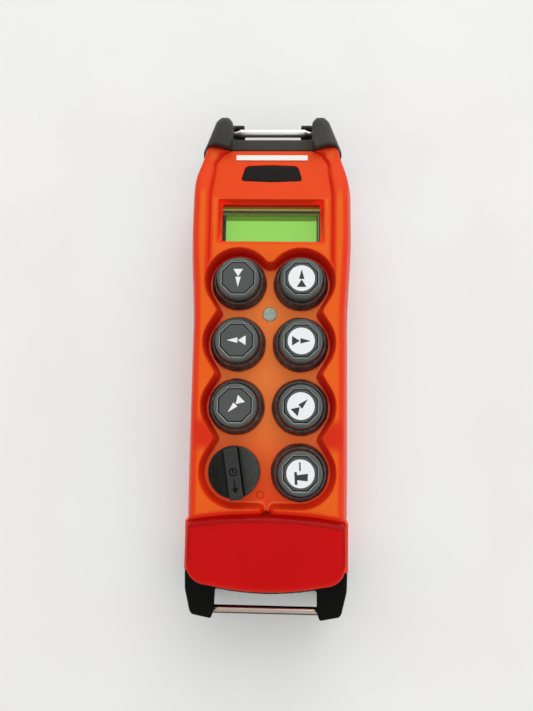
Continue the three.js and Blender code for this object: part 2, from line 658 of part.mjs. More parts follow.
function buildBattery() {
  const [w, y0, y1] = [BAY.halfX - 0.4, BAY.y0 + 0.4, BAY.y1 - 0.4];
  const thumbCut = block(-7, 7, y0 - 1, y0 + 5, -1, 1.8);
  const lip = block(-7, 7, y1 - 1.6, y1 + 1, -1, 1.9); // ledge that the latch hooks over
  const pack = toSolid(block(-w, w, y0, y1, 0.4, BAY.depth - GAP));
  add("battery_pack", toGeometry(cut(pack, thumbCut, lip)), BLACK);
  const bar = block(-LATCH.halfX, LATCH.halfX, BAY.y1 + GAP, LATCH.y1, 0.4, LATCH.z1);
  const tooth = block(-6, 6, BAY.y1 - 1.4, BAY.y1 + 1, 0.5, 1.6);
  add("battery_latch", toGeometry(join(bar, tooth)), BLACK);
  const [near, far] = [CONTACTS.y - 1.6, CONTACTS.y + 1.6];
  const strip = block(-CONTACTS.halfX, CONTACTS.halfX, near, far, BAY.depth, BOARD.z0 - GAP);
  add("battery_contacts", strip, STEEL);
}

function buildFasteners() {
  const screw = turned([[0, 4.4], [2.6, 4.4], [2.6, 6.6], [1.35, 6.6], [1.35, 26], [0, 26]], 12);
  BOSSES.forEach(({ x, y }, index) => add(`housing_screw_${index + 1}`, screw, STEEL, [x, y, 0]));
  const halfLength = ROD_HALF_LENGTH - GAP;
  const { bodyX, neckX, neckR } = HEAD_ROD;
  const half = [[neckR, halfLength], [neckR, neckX], [ROD_R, bodyX]];
  const profile = [[0, -halfLength], ...half.map(([r, x]) => [r, -x]), ...half.reverse(), [0, halfLength]];
  add("head_rod", turned(profile, 20).rotateY(Math.PI / 2).translate(0, HEAD_ROD_Y, ROD_Z), STEEL);
  add("tail_rod", rodAlongX(TAIL_ROD_Y, ROD_Z, TAIL_ROD_R, -halfLength, halfLength), STEEL);
}

// ---- assembly ----
add("front_housing", toGeometry(buildFrontHousing()), ORANGE);
add("stop_bar_housing", toGeometry(buildStopHousing()), ORANGE);
add("rear_housing", toGeometry(buildRearHousing()), ORANGE);
add("housing_gasket", toGeometry(buildGasket()), RUBBER);
add("head_bumper", toGeometry(buildHeadBumper()), BLACK);
add("tail_bumper", toGeometry(buildTailBumper()), BLACK);
buildDisplay();
buildFaceTrim();
buildButtons();
buildKnob();
buildStopBar();
buildElectronics();
buildBattery();
buildFasteners();

export default station;
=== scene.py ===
import json
from math import acos, atan2, cos, degrees, pi, radians, sin, sqrt

import bmesh
import bpy
import numpy as np
from mathutils import Matrix, Vector
from mathutils.geometry import delaunay_2d_cdt
from mathutils.kdtree import KDTree

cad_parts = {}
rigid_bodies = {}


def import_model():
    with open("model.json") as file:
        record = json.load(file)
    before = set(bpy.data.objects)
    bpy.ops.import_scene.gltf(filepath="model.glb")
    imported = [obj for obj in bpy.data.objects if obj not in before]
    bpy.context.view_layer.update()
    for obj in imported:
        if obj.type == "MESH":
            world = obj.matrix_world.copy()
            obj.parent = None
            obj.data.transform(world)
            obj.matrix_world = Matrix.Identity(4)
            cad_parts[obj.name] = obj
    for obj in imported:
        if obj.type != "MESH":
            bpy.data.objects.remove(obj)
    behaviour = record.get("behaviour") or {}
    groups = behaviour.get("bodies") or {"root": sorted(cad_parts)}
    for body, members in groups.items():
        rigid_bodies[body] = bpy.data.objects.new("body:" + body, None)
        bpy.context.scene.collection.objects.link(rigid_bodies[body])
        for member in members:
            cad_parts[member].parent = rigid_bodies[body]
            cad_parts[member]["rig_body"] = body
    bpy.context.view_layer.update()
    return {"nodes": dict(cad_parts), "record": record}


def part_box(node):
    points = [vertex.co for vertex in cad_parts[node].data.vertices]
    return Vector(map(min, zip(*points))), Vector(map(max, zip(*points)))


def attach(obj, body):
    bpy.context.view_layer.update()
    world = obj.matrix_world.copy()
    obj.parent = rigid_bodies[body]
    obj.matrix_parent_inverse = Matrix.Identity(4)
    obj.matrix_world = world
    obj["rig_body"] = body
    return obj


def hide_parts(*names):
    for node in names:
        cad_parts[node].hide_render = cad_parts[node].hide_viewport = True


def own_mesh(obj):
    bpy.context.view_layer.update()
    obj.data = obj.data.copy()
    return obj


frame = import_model()

# Everything below is in millimetres, in the part's own frame, and is scaled by MM when it is built.
MM = 0.001
SUBPARTS = {part["node"]: part for part in frame["record"]["subparts"]}


def box(node):
    low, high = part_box(node)
    return np.array(low) / MM, np.array(high) / MM


def centre(node):
    low, high = box(node)
    return (low + high) / 2


# ---- driving dimensions, as in the CAD part ----
BUTTON_NODES = [f"button_cap_{n}" for n in range(1, 8)]
COLUMN_X = centre("button_cap_2")[0]
ROW_Y = [centre(f"button_cap_{n}")[1] for n in (2, 4, 6, 7)]
PITCH = ROW_Y[0] - ROW_Y[1]
KNOB = (-COLUMN_X, ROW_Y[3])
KNOB_TURN = 9
LAMP_Y = ROW_Y[0] - PITCH / 2
FLOOR_Z = box("button_boot_1")[0][2] - 0.3
CAP_TOP_Z = box("button_cap_1")[1][2]
CAP_BASE_Z = CAP_TOP_Z - 6
PANEL_Z = 38.6
SEAM_Z = 18
SEAM_HALF_GAP = 0.4
TAIL_Y = -93
HEAD_Y = 95.7
HEAD_TOP_Z = 36.4
HEAD_SLANT = 0.15
SEAM_HEAD_Y = HEAD_Y + HEAD_SLANT * (HEAD_TOP_Z - SEAM_Z)
SHOULDERS = [[0, 0], [20.8, 0], [25.6, 1.5], [29.3, 1.6], [33.5, -1.1]]
SHOULDER_Z = 30
HEAD_ROD = {"body_x": 15.4, "neck_x": 17.6, "neck_r": 0.9}
HALF_WIDTH = [
    [-112, 33.4], [-93, 35.4], [-40, 36], [10, 36.3],
    [60, 38.5], [78, 38.5], [100, 34], [112, 29],
]
RAIL_Z = [[-45, 37.6], [-28, 39], [70.1, 39.4], [95.7, 36.4]]
RAIL_INNER_X = [[42, 28.6], [70.1, 28.8], [88, 27.2], [93, 24.8], [96.7, 19.5]]
RECESS = {"half_x": 24, "y0": 49.4, "y1": 70.1}
GLASS = {"half_x": 22.6, "y0": 51.5, "y1": 69.7, "z": 34}
LCD = {"half_x": 21.3, "y0": 53, "y1": 65.7}
HOOD_Y = RECESS["y1"]
HOOD_END_Z = 35.4
FACE_EDGE = {"y": -69.6, "radius": 191}
STOP = {"half_x": 32.8, "top_y": -70.1, "bottom_y": -100, "top_r": 185, "bottom_r": 120}
STOP_CORNERS = (2, 8.5)
STOP_FLOOR_Z = 26
STOP_BASE_Z = 33
STOP_TOP_Z = box("stop_bar")[1][2]
STOP_SKIN = 2.8
STOP_POSTS = [(-20, -83), (0, -83), (20, -83)]
SCREWS = [tuple(centre(f"housing_screw_{n}")[:2]) for n in range(1, 5)]
BAY = {"half_x": 24.5, "y0": -48, "y1": 28, "depth": 12}


# ---- curves and profiles ----
def through(knots, y):
    """Value at y of a curve through (y, value) knots, easing from one knot to the next."""
    at, value = np.array(knots, float).T
    i = np.clip(np.searchsorted(at, y) - 1, 0, len(at) - 2)
    t = np.clip((y - at[i]) / (at[i + 1] - at[i]), 0, 1)
    return value[i] + (value[i + 1] - value[i]) * t * t * (3 - 2 * t)


def softened(knots, x, soft):
    """Straight lines between (x, value) knots, with their corners rounded over a width of soft."""
    at, value = np.array(knots, float).T
    reach = np.minimum(soft, np.abs(x - at[0]))
    taps = np.linspace(-1, 1, 9)
    return sum(np.interp(x + tap * reach, at, value) for tap in taps) / len(taps)


def half_width(y):
    return through(HALF_WIDTH, y)


def arc(cx, cy, radius, start, end, step=1.0):
    count = max(3, int(abs(radians(end - start)) * radius / step) + 1)
    angles = np.radians(np.linspace(start, end, count + 1))
    return np.column_stack([cx + radius * np.cos(angles), cy + radius * np.sin(angles)])


def circle(cx, cy, radius, step=1.0):
    count = max(24, int(2 * pi * radius / step))
    angles = 2 * pi * np.arange(count) / count
    return np.column_stack([cx + radius * np.cos(angles), cy + radius * np.sin(angles)])


def mirrored(right):
    """The closed loop, or the whole path, whose right half is given."""
    right = np.asarray(right, float)
    left = (right * (-1, 1))[::-1]
    if abs(right[0][0]) < 1e-9:
        left = left[:-1]
    return np.vstack([right, left[1:] if abs(right[-1][0]) < 1e-9 else left])


def resampled(line, step, closed):
    """The same line with extra points, so that none of its stretches is longer than step."""
    line = np.asarray(line, float)
    ends = np.vstack([line, line[:1]]) if closed else line
    out = []
    for a, b in zip(ends[:-1], ends[1:]):
        count = max(1, int(np.ceil(np.linalg.norm(b - a) / step)))
        out += [a + (b - a) * i / count for i in range(count)]
    return np.array(out if closed else out + [ends[-1]])


def rounded_box(half_x, y0, y1, corner, cx=0.0):
    return np.vstack([
        arc(cx + half_x - corner, y1 - corner, corner, 90, 0, 0.4),
        arc(cx + half_x - corner, y0 + corner, corner, 0, -90, 0.4),
        arc(cx - half_x + corner, y0 + corner, corner, -90, -180, 0.4),
        arc(cx - half_x + corner, y1 - corner, corner, 180, 90, 0.4),
    ])


def inset_box(low, high, inset, corner):
    """Rounded outline of a CAD node's box, drawn in by an inset."""
    return rounded_box(high[0] - inset, low[1] + inset, high[1] - inset, corner)


def inside(loop, points):
    """Which of the points lie inside a closed loop."""
    x, y = np.asarray(points, float).T
    result = np.zeros(len(x), bool)
    for (x0, y0), (x1, y1) in zip(loop, np.roll(loop, -1, axis=0)):
        if y0 != y1:
            result ^= ((y0 > y) != (y1 > y)) & (x < (x1 - x0) * (y - y0) / (y1 - y0) + x0)
    return result


def between_loops(outline, holes, points):
    """Which of the points lie inside the outline and outside every hole."""
    return inside(outline, points) & ~np.any([inside(hole, points) for hole in holes], axis=0)


def near_any(places, x, y, reach):
    """Which points are within reach of one of the places."""
    return np.any([np.hypot(x - px, y - py) < reach for px, py in places], axis=0)


def rounding(distance, radius):
    """Drop of an edge that is rounded with a radius, as a share of it, at a distance in from the edge."""
    return 1 - np.sqrt(1 - (1 - np.clip(distance, 0, radius) / radius) ** 2)


# ---- plan-and-height meshes ----
def both_sides(x, y):
    """Two open guide lines, one on each side of the middle."""
    return [(np.column_stack([np.multiply(sign, x), y]), False) for sign in (-1, 1)]


def level(loop, z):
    """A closed guide line at one height, which gets no extra points."""
    return loop, True, np.full(len(loop), z)


class Plan:
    """Triangles that fill an outline seen from above, with edges along every guide line.

    A guide is (line, closed) or (line, closed, z), where z is the height of that line.
    """

    def __init__(self, outline, holes=(), guides=(), spacing=1.2):
        self.points, edges, heights = [], [], []
        lines = [(outline, True), *((hole, True) for hole in holes), *guides]
        for line, closed, *z in lines:
            z = z[0] if z else np.nan
            dense = resampled(line, spacing, closed) if np.isscalar(z) else np.asarray(line, float)
            first, count = len(self.points), len(dense)
            self.points.extend(dense)
            heights.extend(np.broadcast_to(z, count))
            last = count if closed else count - 1
            edges.extend((first + i, first + (i + 1) % count) for i in range(last))
        grid = self.grid_inside(outline, holes, spacing)
        heights.extend([np.nan] * len(grid))
        flat = [Vector(p) for p in [*self.points, *grid]]
        points, _, faces, origins, *_ = delaunay_2d_cdt(flat, edges, [], 0, 1e-5)
        self.points = np.array(points)
        self.height = np.full(len(points), np.nan)
        for i, came_from in enumerate(origins):
            known = [heights[k] for k in came_from if not np.isnan(heights[k])]
            if known:
                self.height[i] = known[0]
        faces = np.array(faces)
        middle = self.points[faces].mean(axis=1)
        self.faces = faces[between_loops(outline, holes, middle)]
        a, b, c = (self.points[self.faces[:, k]] for k in range(3))
        turn = (b[:, 0] - a[:, 0]) * (c[:, 1] - a[:, 1]) - (b[:, 1] - a[:, 1]) * (c[:, 0] - a[:, 0])
        self.faces[turn < 0] = self.faces[turn < 0][:, ::-1]

    def grid_inside(self, outline, holes, spacing):
        """Points of a triangular grid, clear of every line."""
        low, high = np.min(outline, axis=0), np.max(outline, axis=0)
        rows = np.arange(low[1], high[1], spacing * 0.866)
        grid = np.array([
            (x + (spacing / 2 if row % 2 else 0), y)
            for row, y in enumerate(rows)
            for x in np.arange(low[0], high[0], spacing)
        ])
        kept = between_loops(outline, holes, grid)
        tree = KDTree(len(self.points))
        for i, (x, y) in enumerate(self.points):
            tree.insert((x, y, 0), i)
        tree.balance()
        return [p for p in grid[kept] if tree.find((*p, 0))[2] > 0.62 * spacing]


def placed(name, data):
    """A new object in the scene."""
    obj = bpy.data.objects.new(name, data)
    bpy.context.scene.collection.objects.link(obj)
    return obj


def apply_modifiers(obj):
    """Keeps what the object's modifiers make of it as its plain mesh."""
    mesh = bpy.data.meshes.new_from_object(obj.evaluated_get(bpy.context.evaluated_depsgraph_get()))
    obj.modifiers.clear()
    obj.data = mesh
    return mesh


def new_object(name, verts, faces, face_material=None, sharp=38):
    """A mesh object from points in millimetres, smooth except at edges sharper than the given angle."""
    mesh = bpy.data.meshes.new(name)
    mesh.from_pydata([tuple(v) for v in np.asarray(verts) * MM], [], [tuple(f) for f in faces])
    if face_material is not None:
        mesh.polygons.foreach_set("material_index", np.asarray(face_material, np.int32))
    work = bmesh.new()
    work.from_mesh(mesh)
    bmesh.ops.remove_doubles(work, verts=work.verts, dist=1e-7)
    bmesh.ops.dissolve_degenerate(work, edges=work.edges, dist=1e-8)
    bmesh.ops.recalc_face_normals(work, faces=work.faces)
    work.to_mesh(mesh)
    work.free()
    mesh.polygons.foreach_set("use_smooth", [True] * len(mesh.polygons))
    mesh.set_sharp_from_angle(angle=radians(sharp))
    return placed(name, mesh)


def shell(name, plan, top, bottom, paint=None, sharp=38):
    """Closed piece between two heights over a plan, each of them a number or a function of x and y.

    Where the plan has heights of its own, they take the top's place. The function paint gives each
    top face its material number, from the middles of the faces.
    """
    x, y = plan.points.T
    high, low = (np.broadcast_to(z(x, y) if callable(z) else z, x.shape) for z in (top, bottom))
    high = np.where(np.isnan(plan.height), high, plan.height)
    count = len(x)
    verts = np.vstack([np.column_stack([x, y, high]), np.column_stack([x, y, low])])
    pairs = dict.fromkeys((a, b) for face in plan.faces for a, b in zip(face, np.roll(face, -1)))
    rim = [(a, b) for a, b in pairs if (b, a) not in pairs]
    skirt = [(b, a, a + count, b + count) for a, b in rim]
    faces = [*plan.faces.tolist(), *(plan.faces[:, ::-1] + count).tolist(), *skirt]
    painted = None
    if paint is not None:
        middle = plan.points[plan.faces].mean(axis=1)
        painted = [*paint(middle), *[0] * (len(faces) - len(plan.faces))]
    return new_object(name, verts, faces, painted, sharp)


def lathe(name, profile, at=(0, 0, 0), segments=96, bump=None, axis="z"):
    """Closed piece turned about an axis from (radius, height) points."""
    profile = np.array(profile, float)
    angles = 2 * pi * np.arange(segments) / segments
    verts = np.vstack([
        np.column_stack([radius * np.cos(angles), radius * np.sin(angles), np.full(segments, z)])
        for radius, z in profile
    ])
    if bump is not None:
        verts = bump(verts)
    if axis == "x":
        verts = verts[:, [2, 0, 1]]
    faces = []
    for r in range(len(profile)):
        below, above = r * segments, ((r + 1) % len(profile)) * segments
        for i in range(segments):
            j = (i + 1) % segments
            faces.append((below + i, below + j, above + j, above + i))
    return new_object(name, verts + np.array(at), faces)


def rounded_profile(points, radii, steps=5):
    """Corner points with each corner replaced by an arc-like curve that starts radius away from it."""
    points = np.array(points, float)
    out = []
    for i, (point, radius) in enumerate(zip(points, radii)):
        before, after = points[i - 1], points[(i + 1) % len(points)]
        if radius == 0:
            out.append(point)
            continue
        start = point + (before - point) * min(0.5, radius / np.linalg.norm(before - point))
        end = point + (after - point) * min(0.5, radius / np.linalg.norm(after - point))
        for t in np.linspace(0, 1, steps + 1):
            out.append((1 - t) ** 2 * start + 2 * t * (1 - t) * point + t * t * end)
    return np.array(out)


def wear(obj, *materials):
    """Gives the object these materials only."""
    if len(obj.data.materials):  # clear() on a mesh that has none would reset its faces' numbers
        obj.data.materials.clear()
    for material in materials:
        obj.data.materials.append(material)


def stand_in(obj, node, *materials):
    """The piece is shown instead of a CAD node, on the node's body, wearing the materials given."""
    if materials:
        wear(obj, *materials)
    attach(obj, frame["nodes"][node]["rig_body"])
    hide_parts(node)


# ---- materials ----
class Nodes:
    """A node tree, with short ways to add to it."""

    def __init__(self, tree, coordinates):
        self.tree = tree
        self.coordinates = self.node("ShaderNodeTexCoord").outputs[coordinates]

    def node(self, kind, inputs=(), **settings):
        made = self.tree.nodes.new(kind)
        for name, value in settings.items():
            setattr(made, name, value)
        for name, value in dict(inputs).items():
            if isinstance(value, bpy.types.NodeSocket):
                self.tree.links.new(value, made.inputs[name])
            else:
                made.inputs[name].default_value = value
        return made

    def axis(self, letter, vector=None):
        """One coordinate of a vector, or of the point that is looked up."""
        vector = self.coordinates if vector is None else vector
        return self.node("ShaderNodeSeparateXYZ", {"Vector": vector}).outputs[letter]

    def math(self, operation, *values):
        """Result of a sum on numbers or sockets."""
        return self.node("ShaderNodeMath", dict(enumerate(values)), operation=operation).outputs[0]

    def between(self, factor, low, high, start=0.3, end=0.7):
        """From low to high as the factor goes from start to end."""
        inputs = {"Value": factor, "From Min": start, "From Max": end, "To Min": low, "To Max": high}
        return self.node("ShaderNodeMapRange", inputs).outputs[0]


class Shader(Nodes):
    """A new material with a Principled shader and short ways to feed it."""

    def __init__(self, name, **values):
        self.material = bpy.data.materials.new(name)
        self.material.use_nodes = True
        super().__init__(self.material.node_tree, "Object")
        self.principled = self.tree.nodes["Principled BSDF"]
        for socket, value in values.items():
            self.principled.inputs[socket.replace("_", " ")].default_value = value

    def feed(self, name, socket):
        """Links a socket to one of the Principled shader's inputs."""
        self.tree.links.new(socket, self.principled.inputs[name])

    def noise(self, size, detail=2.0, stretch=None, distortion=0.0):
        """Noise whose blobs are about size millimetres across."""
        vector = self.coordinates
        if stretch:
            vector = self.node("ShaderNodeMapping", {"Vector": vector, "Scale": stretch}).outputs[0]
        inputs = {"Vector": vector, "Scale": 1 / (size * MM), "Detail": detail, "Distortion": distortion}
        return self.node("ShaderNodeTexNoise", inputs).outputs["Fac"]

    def cells(self, size):
        """Rounded cells that are about size millimetres across."""
        inputs = {"Vector": self.coordinates, "Scale": 1 / (size * MM)}
        return self.node("ShaderNodeTexVoronoi", inputs).outputs["Distance"]

    def shades(self, factor, *stops):
        """Colours along a ramp, from (position, colour) stops."""
        ramp = self.node("ShaderNodeValToRGB", {"Fac": factor})
        elements = ramp.color_ramp.elements
        while len(elements) < len(stops):
            elements.new(0.5)
        for element, (position, colour) in zip(elements, stops):
            element.position = position
            element.color = (*colour, 1)
        return ramp.outputs["Color"]

    def mixed(self, factor, a, b):
        made = self.node("ShaderNodeMix", {"Factor": factor}, data_type="RGBA")
        for index, value in ((6, a), (7, b)):
            if isinstance(value, bpy.types.NodeSocket):
                self.tree.links.new(value, made.inputs[index])
            else:
                made.inputs[index].default_value = (*value, 1)
        return made.outputs[2]

    def clouded(self, base, other, share, *noise):
        """A colour that takes on up to a share of another one in places."""
        return self.mixed(self.between(self.noise(*noise), 0.0, share), base, other)

    def colour(self, socket, glow=0.0):
        """The base colour, which the surface may also give off."""
        self.feed("Base Color", socket)
        if glow:
            self.feed("Emission Color", socket)
            self.principled.inputs["Emission Strength"].default_value = glow

    def roughness(self, low, high, *noise):
        """Roughness that wanders between two values."""
        self.feed("Roughness", self.between(self.noise(*noise), low, high))

    def bumps(self, *layers):
        """Bump from (height socket, depth in millimetres) layers, one on top of the other."""
        normal = None
        for height, depth in layers:
            inputs = {"Height": height, "Distance": depth * MM, "Strength": 1.0}
            if normal is not None:
                inputs["Normal"] = normal
            normal = self.node("ShaderNodeBump", inputs).outputs[0]
        self.feed("Normal", normal)
        return self.material


def linear(r, g, b):
    """A colour given as screen values from 0 to 255."""
    shares = (r / 255, g / 255, b / 255)
    return tuple(c / 12.92 if c <= 0.04045 else ((c + 0.055) / 1.055) ** 2.4 for c in shares)


def tinted(colour, share):
    return tuple(min(1.0, c * share) for c in colour)


def moulded(name, colour, rough=0.4, grain=0.35, depth=0.012, spread=0.06, specular=0.5, streak=0.07):
    """Moulded plastic: clouded colour, fine spark-eroded grain, faint rubbed streaks."""
    s = Shader(name, Specular_IOR_Level=specular)
    clouds = s.noise(22, 3)
    fine = s.noise(grain * 2.2, 2)
    base = s.shades(clouds, (0.25, tinted(colour, 1 - spread)), (0.75, tinted(colour, 1 + spread)))
    speck = s.between(fine, 0.0, 1.0, 0.25, 0.75)
    base = s.mixed(s.between(speck, 0.0, 0.22), base, tinted(colour, 0.86))
    s.colour(base)
    s.roughness(rough - streak, rough + streak, 3.5, 4, (1, 0.18, 1))
    return s.bumps((s.cells(grain), depth), (fine, depth * 0.8))


def plastic_with_painted_shade(
    name, level, slope_shade, corner_shade, reach=5, rough=0.4, start=0.4, end=0.9, corner_glow=0.22, low=None, tail_corner_shade=None,
):
    """Plastic with painted shade: redder where it turns away from the face, deep red down in its corners.

    level and slope_shade are its colours on flat ground and on a slope, the latter painted shade;
    corner_shade is the painted shade that it takes down in its corners, where it also glows as strongly as
    corner_glow, as painted light; low and tail_corner_shade are what level and corner_shade turn to at the
    tail end.
    """
    s = Shader(name, Specular_IOR_Level=0.09)
    normal = s.node("ShaderNodeNewGeometry").outputs["Normal"]
    gentle = tuple(0.25 * a + 0.75 * b for a, b in zip(level, slope_shade))
    base = s.shades(
        s.axis("Z", normal),
        (0.55, tinted(slope_shade, 0.9)), (0.93, slope_shade), (0.9925, gentle), (0.9985, level),
    )
    # Faces that turn towards the tail take a painted red shade.
    base = s.mixed(s.between(s.axis("Y", normal), 0.0, 0.9, -0.02, -0.1), base, TAIL_FACING_SHADE)
    low_down = s.between(s.axis("Y"), 0.0, 1.0, -0.03, -0.06)
    if low:
        base = s.mixed(low_down, base, low)
    dark = s.mixed(low_down, corner_shade, tail_corner_shade) if tail_corner_shade else corner_shade
    fine = s.noise(0.8, 2)
    base = s.clouded(base, gentle, 0.3, 26, 3)
    base = s.mixed(s.between(fine, 0.0, 0.12), base, slope_shade)
    # Painted shade: where ambient occlusion finds the surface enclosed it takes the corner shade and glows
    # with it, as painted light.
    openness = s.node("ShaderNodeAmbientOcclusion", {"Distance": reach * MM}, samples=8).outputs["AO"]
    s.colour(s.mixed(s.between(openness, 0.0, 1.0, start, end), dark, base))
    near_rim = s.between(openness, 0.0, 1.0, 0.3, 0.75)
    s.feed("Emission Color", s.mixed(near_rim, dark, slope_shade))
    s.feed("Emission Strength", s.between(openness, corner_glow, 0.0, 0.35, 0.92))
    s.roughness(rough - 0.05, rough + 0.05, 3.5, 3)
    return s.bumps((s.cells(0.4), 0.006), (fine, 0.005))


def rubber(name, colour, rough=0.38, crinkle=0.3, specular=0.8):
    """Rubber with a dusty, wrinkled skin."""
    s = Shader(name, Specular_IOR_Level=specular)
    dust = s.noise(2.4, 5, stretch=(1, 1, 2), distortion=0.8)
    s.colour(s.shades(dust, (0.38, tinted(colour, 0.5)), (0.5, colour), (0.64, tinted(colour, 4))))
    s.roughness(rough - 0.12, rough + 0.12, 2.2, 3)
    return s.bumps((s.noise(1.3, 4, (1, 1, 2.2), 1.6), crinkle), (s.noise(0.3, 2), 0.03))


def metal(name, colour, rough, along=(1, 1, 1), scratch=0.004, sides=None, lit_facing=(0, 0, 1)):
    """Metal with fine drawn lines along one axis.

    If a tone for its sides is given, it is painted shade and painted reflection,
    and only the ground that faces the given direction keeps the first colour.
    """
    s = Shader(name, Metallic=1.0)
    lines = s.noise(0.35, 3, stretch=along)
    base = s.shades(lines, (0.3, tinted(colour, 0.86)), (0.7, tinted(colour, 1.05)))
    if sides:
        normal = s.node("ShaderNodeNewGeometry").outputs["Normal"]
        facing = s.node("ShaderNodeVectorMath", {0: normal, 1: lit_facing}, operation="DOT_PRODUCT")
        base = s.mixed(s.between(facing.outputs["Value"], 0.0, 1.0, 0.66, 0.84), sides, base)
    s.colour(base)
    s.roughness(rough - 0.05, rough + 0.1, 1.5, 3, along)
    return s.bumps((lines, scratch))


def printed(name, colour, rough=0.5, streak=0.05):
    """Screen print: nearly even colour with thin streaks where the ink is starved."""
    s = Shader(name, Specular_IOR_Level=0.3)
    ink = s.noise(0.5, 3, stretch=(0.25, 1.6, 1))
    s.colour(s.shades(ink, (0.3, tinted(colour, 1 - streak)), (0.62, colour)))
    s.feed("Roughness", s.between(ink, rough - 0.05, rough + 0.1))
    return s.bumps((ink, 0.006))


def clear_plastic():
    """Hard-coated window with faint hairlines."""
    s = Shader("clear_window", Transmission_Weight=1.0, IOR=1.25, Specular_IOR_Level=0.25)
    s.principled.inputs["Base Color"].default_value = (0.93, 0.98, 0.93, 1)
    hairlines = s.noise(0.6, 4, stretch=(0.12, 1, 1))
    s.feed("Roughness", s.between(hairlines, 0.0, 0.05, 0.45, 0.8))
    return s.bumps((s.noise(9, 1), 0.01))


def lit_panel():
    """The display's backlit layer: even green, with a painted shadow, darker and yellower, under its top
    edge.
    """
    s = Shader("display_green", Specular_IOR_Level=0.2)
    low, high = box("display_module")
    height = s.between(s.axis("Y"), 0.0, 1.0, low[1] * MM, high[1] * MM)
    green, shade = linear(146, 212, 92), linear(90, 130, 6)
    # The painted shadow under the top edge.
    layer = s.shades(height, (0.0, green), (0.62, green), (0.635, shade), (1.0, shade))
    s.colour(s.clouded(layer, tinted(green, 0.8), 0.1, 0.32, 1), glow=0.5)
    s.roughness(0.4, 0.5, 1, 2)
    return s.bumps((s.noise(0.3, 1), 0.004))


def frame_with_painted_glare():
    """Black surround of the display with painted reflections: thin pale lines and tan and red bands above
    the opening, a pale glare stripe on one side, and a glow as painted light.
    """
    s = Shader("display_frame", Specular_IOR_Level=0.3)
    black, pale, green = linear(30, 29, 27), linear(150, 165, 120), linear(90, 112, 30)
    dusk, lime = linear(56, 60, 38), linear(175, 186, 96)
    tan, red = linear(145, 94, 44), linear(140, 26, 14)
    upper_y = LCD["y1"]
    # Above the opening: the green layer's painted shadow, then painted reflections in lines and bands.
    along = s.between(s.axis("Y"), 0.0, 1.0, upper_y * MM, (upper_y + 5.5) * MM)
    lines = s.shades(
        along,
        (0.0, green), (0.1, green), (0.24, dusk), (0.4, dusk),
        (0.49, lime), (0.54, lime), (0.58, tan), (0.69, tan), (0.84, red), (1.0, red),
    )
    # A painted glare stripe beside the opening.
    side = s.between(s.axis("X"), 0.0, 1.0, 21.4 * MM, 23.4 * MM)
    glare = s.shades(
        side,
        (0.0, black), (0.18, black), (0.3, pale), (0.4, tinted(pale, 0.6)), (0.5, black), (1.0, black),
    )
    above = s.between(s.axis("Y"), 0.0, 1.0, (upper_y - 0.05) * MM, upper_y * MM)
    # The surround glows as painted light.
    s.colour(s.clouded(s.mixed(above, glare, lines), black, 0.3, 1.4, 3), glow=0.55)
    s.roughness(0.3, 0.45, 1, 2)
    return s.bumps((s.noise(0.4, 2), 0.006))


def knob_plastic_with_sheen():
    """Black plastic with a painted sheen: paler towards one side of the disc, as painted reflection."""
    s = Shader("knob_disc_sheen", Specular_IOR_Level=0.12)
    black, grey, pale = linear(14, 14, 13), linear(40, 41, 40), linear(70, 72, 70)
    # The painted sheen grows across the disc from one side to the other.
    side = s.between(s.axis("X"), 0.0, 1.0, -0.008, 0.009)
    base = s.shades(side, (0.0, black), (0.45, grey), (1.0, pale))
    s.colour(s.clouded(base, tinted(grey, 0.7), 0.5, 1.8, 4))
    s.roughness(0.3, 0.5, 2, 3)
    return s.bumps((s.cells(0.4), 0.008), (s.noise(0.9, 2), 0.006))


def lens_plastic():
    """Milky, greenish lamp lens whose tone wanders at random."""
    s = Shader("lamp_lens", Specular_IOR_Level=0.5, Subsurface_Weight=0.3, Subsurface_Scale=0.001)
    s.colour(s.shades(s.noise(2.5, 2), (0.3, linear(150, 168, 150)), (0.75, linear(190, 202, 182))))
    s.roughness(0.18, 0.3, 0.6, 2)
    return s.bumps((s.noise(1.2, 2), 0.01))


def circuit():
    """Solder mask with a faint pattern of tracks."""
    s = Shader("circuit_board", Specular_IOR_Level=0.5)
    tracks = s.node("ShaderNodeTexBrick", {"Vector": s.coordinates, "Scale": 260, "Mortar Size": 0.012})
    s.colour(s.mixed(tracks.outputs["Fac"], linear(28, 96, 52), linear(58, 132, 74)))
    s.roughness(0.3, 0.45, 2, 2)
    return s.bumps((tracks.outputs["Fac"], 0.02))


ORANGE = (0.81, 0.13, 0.011)
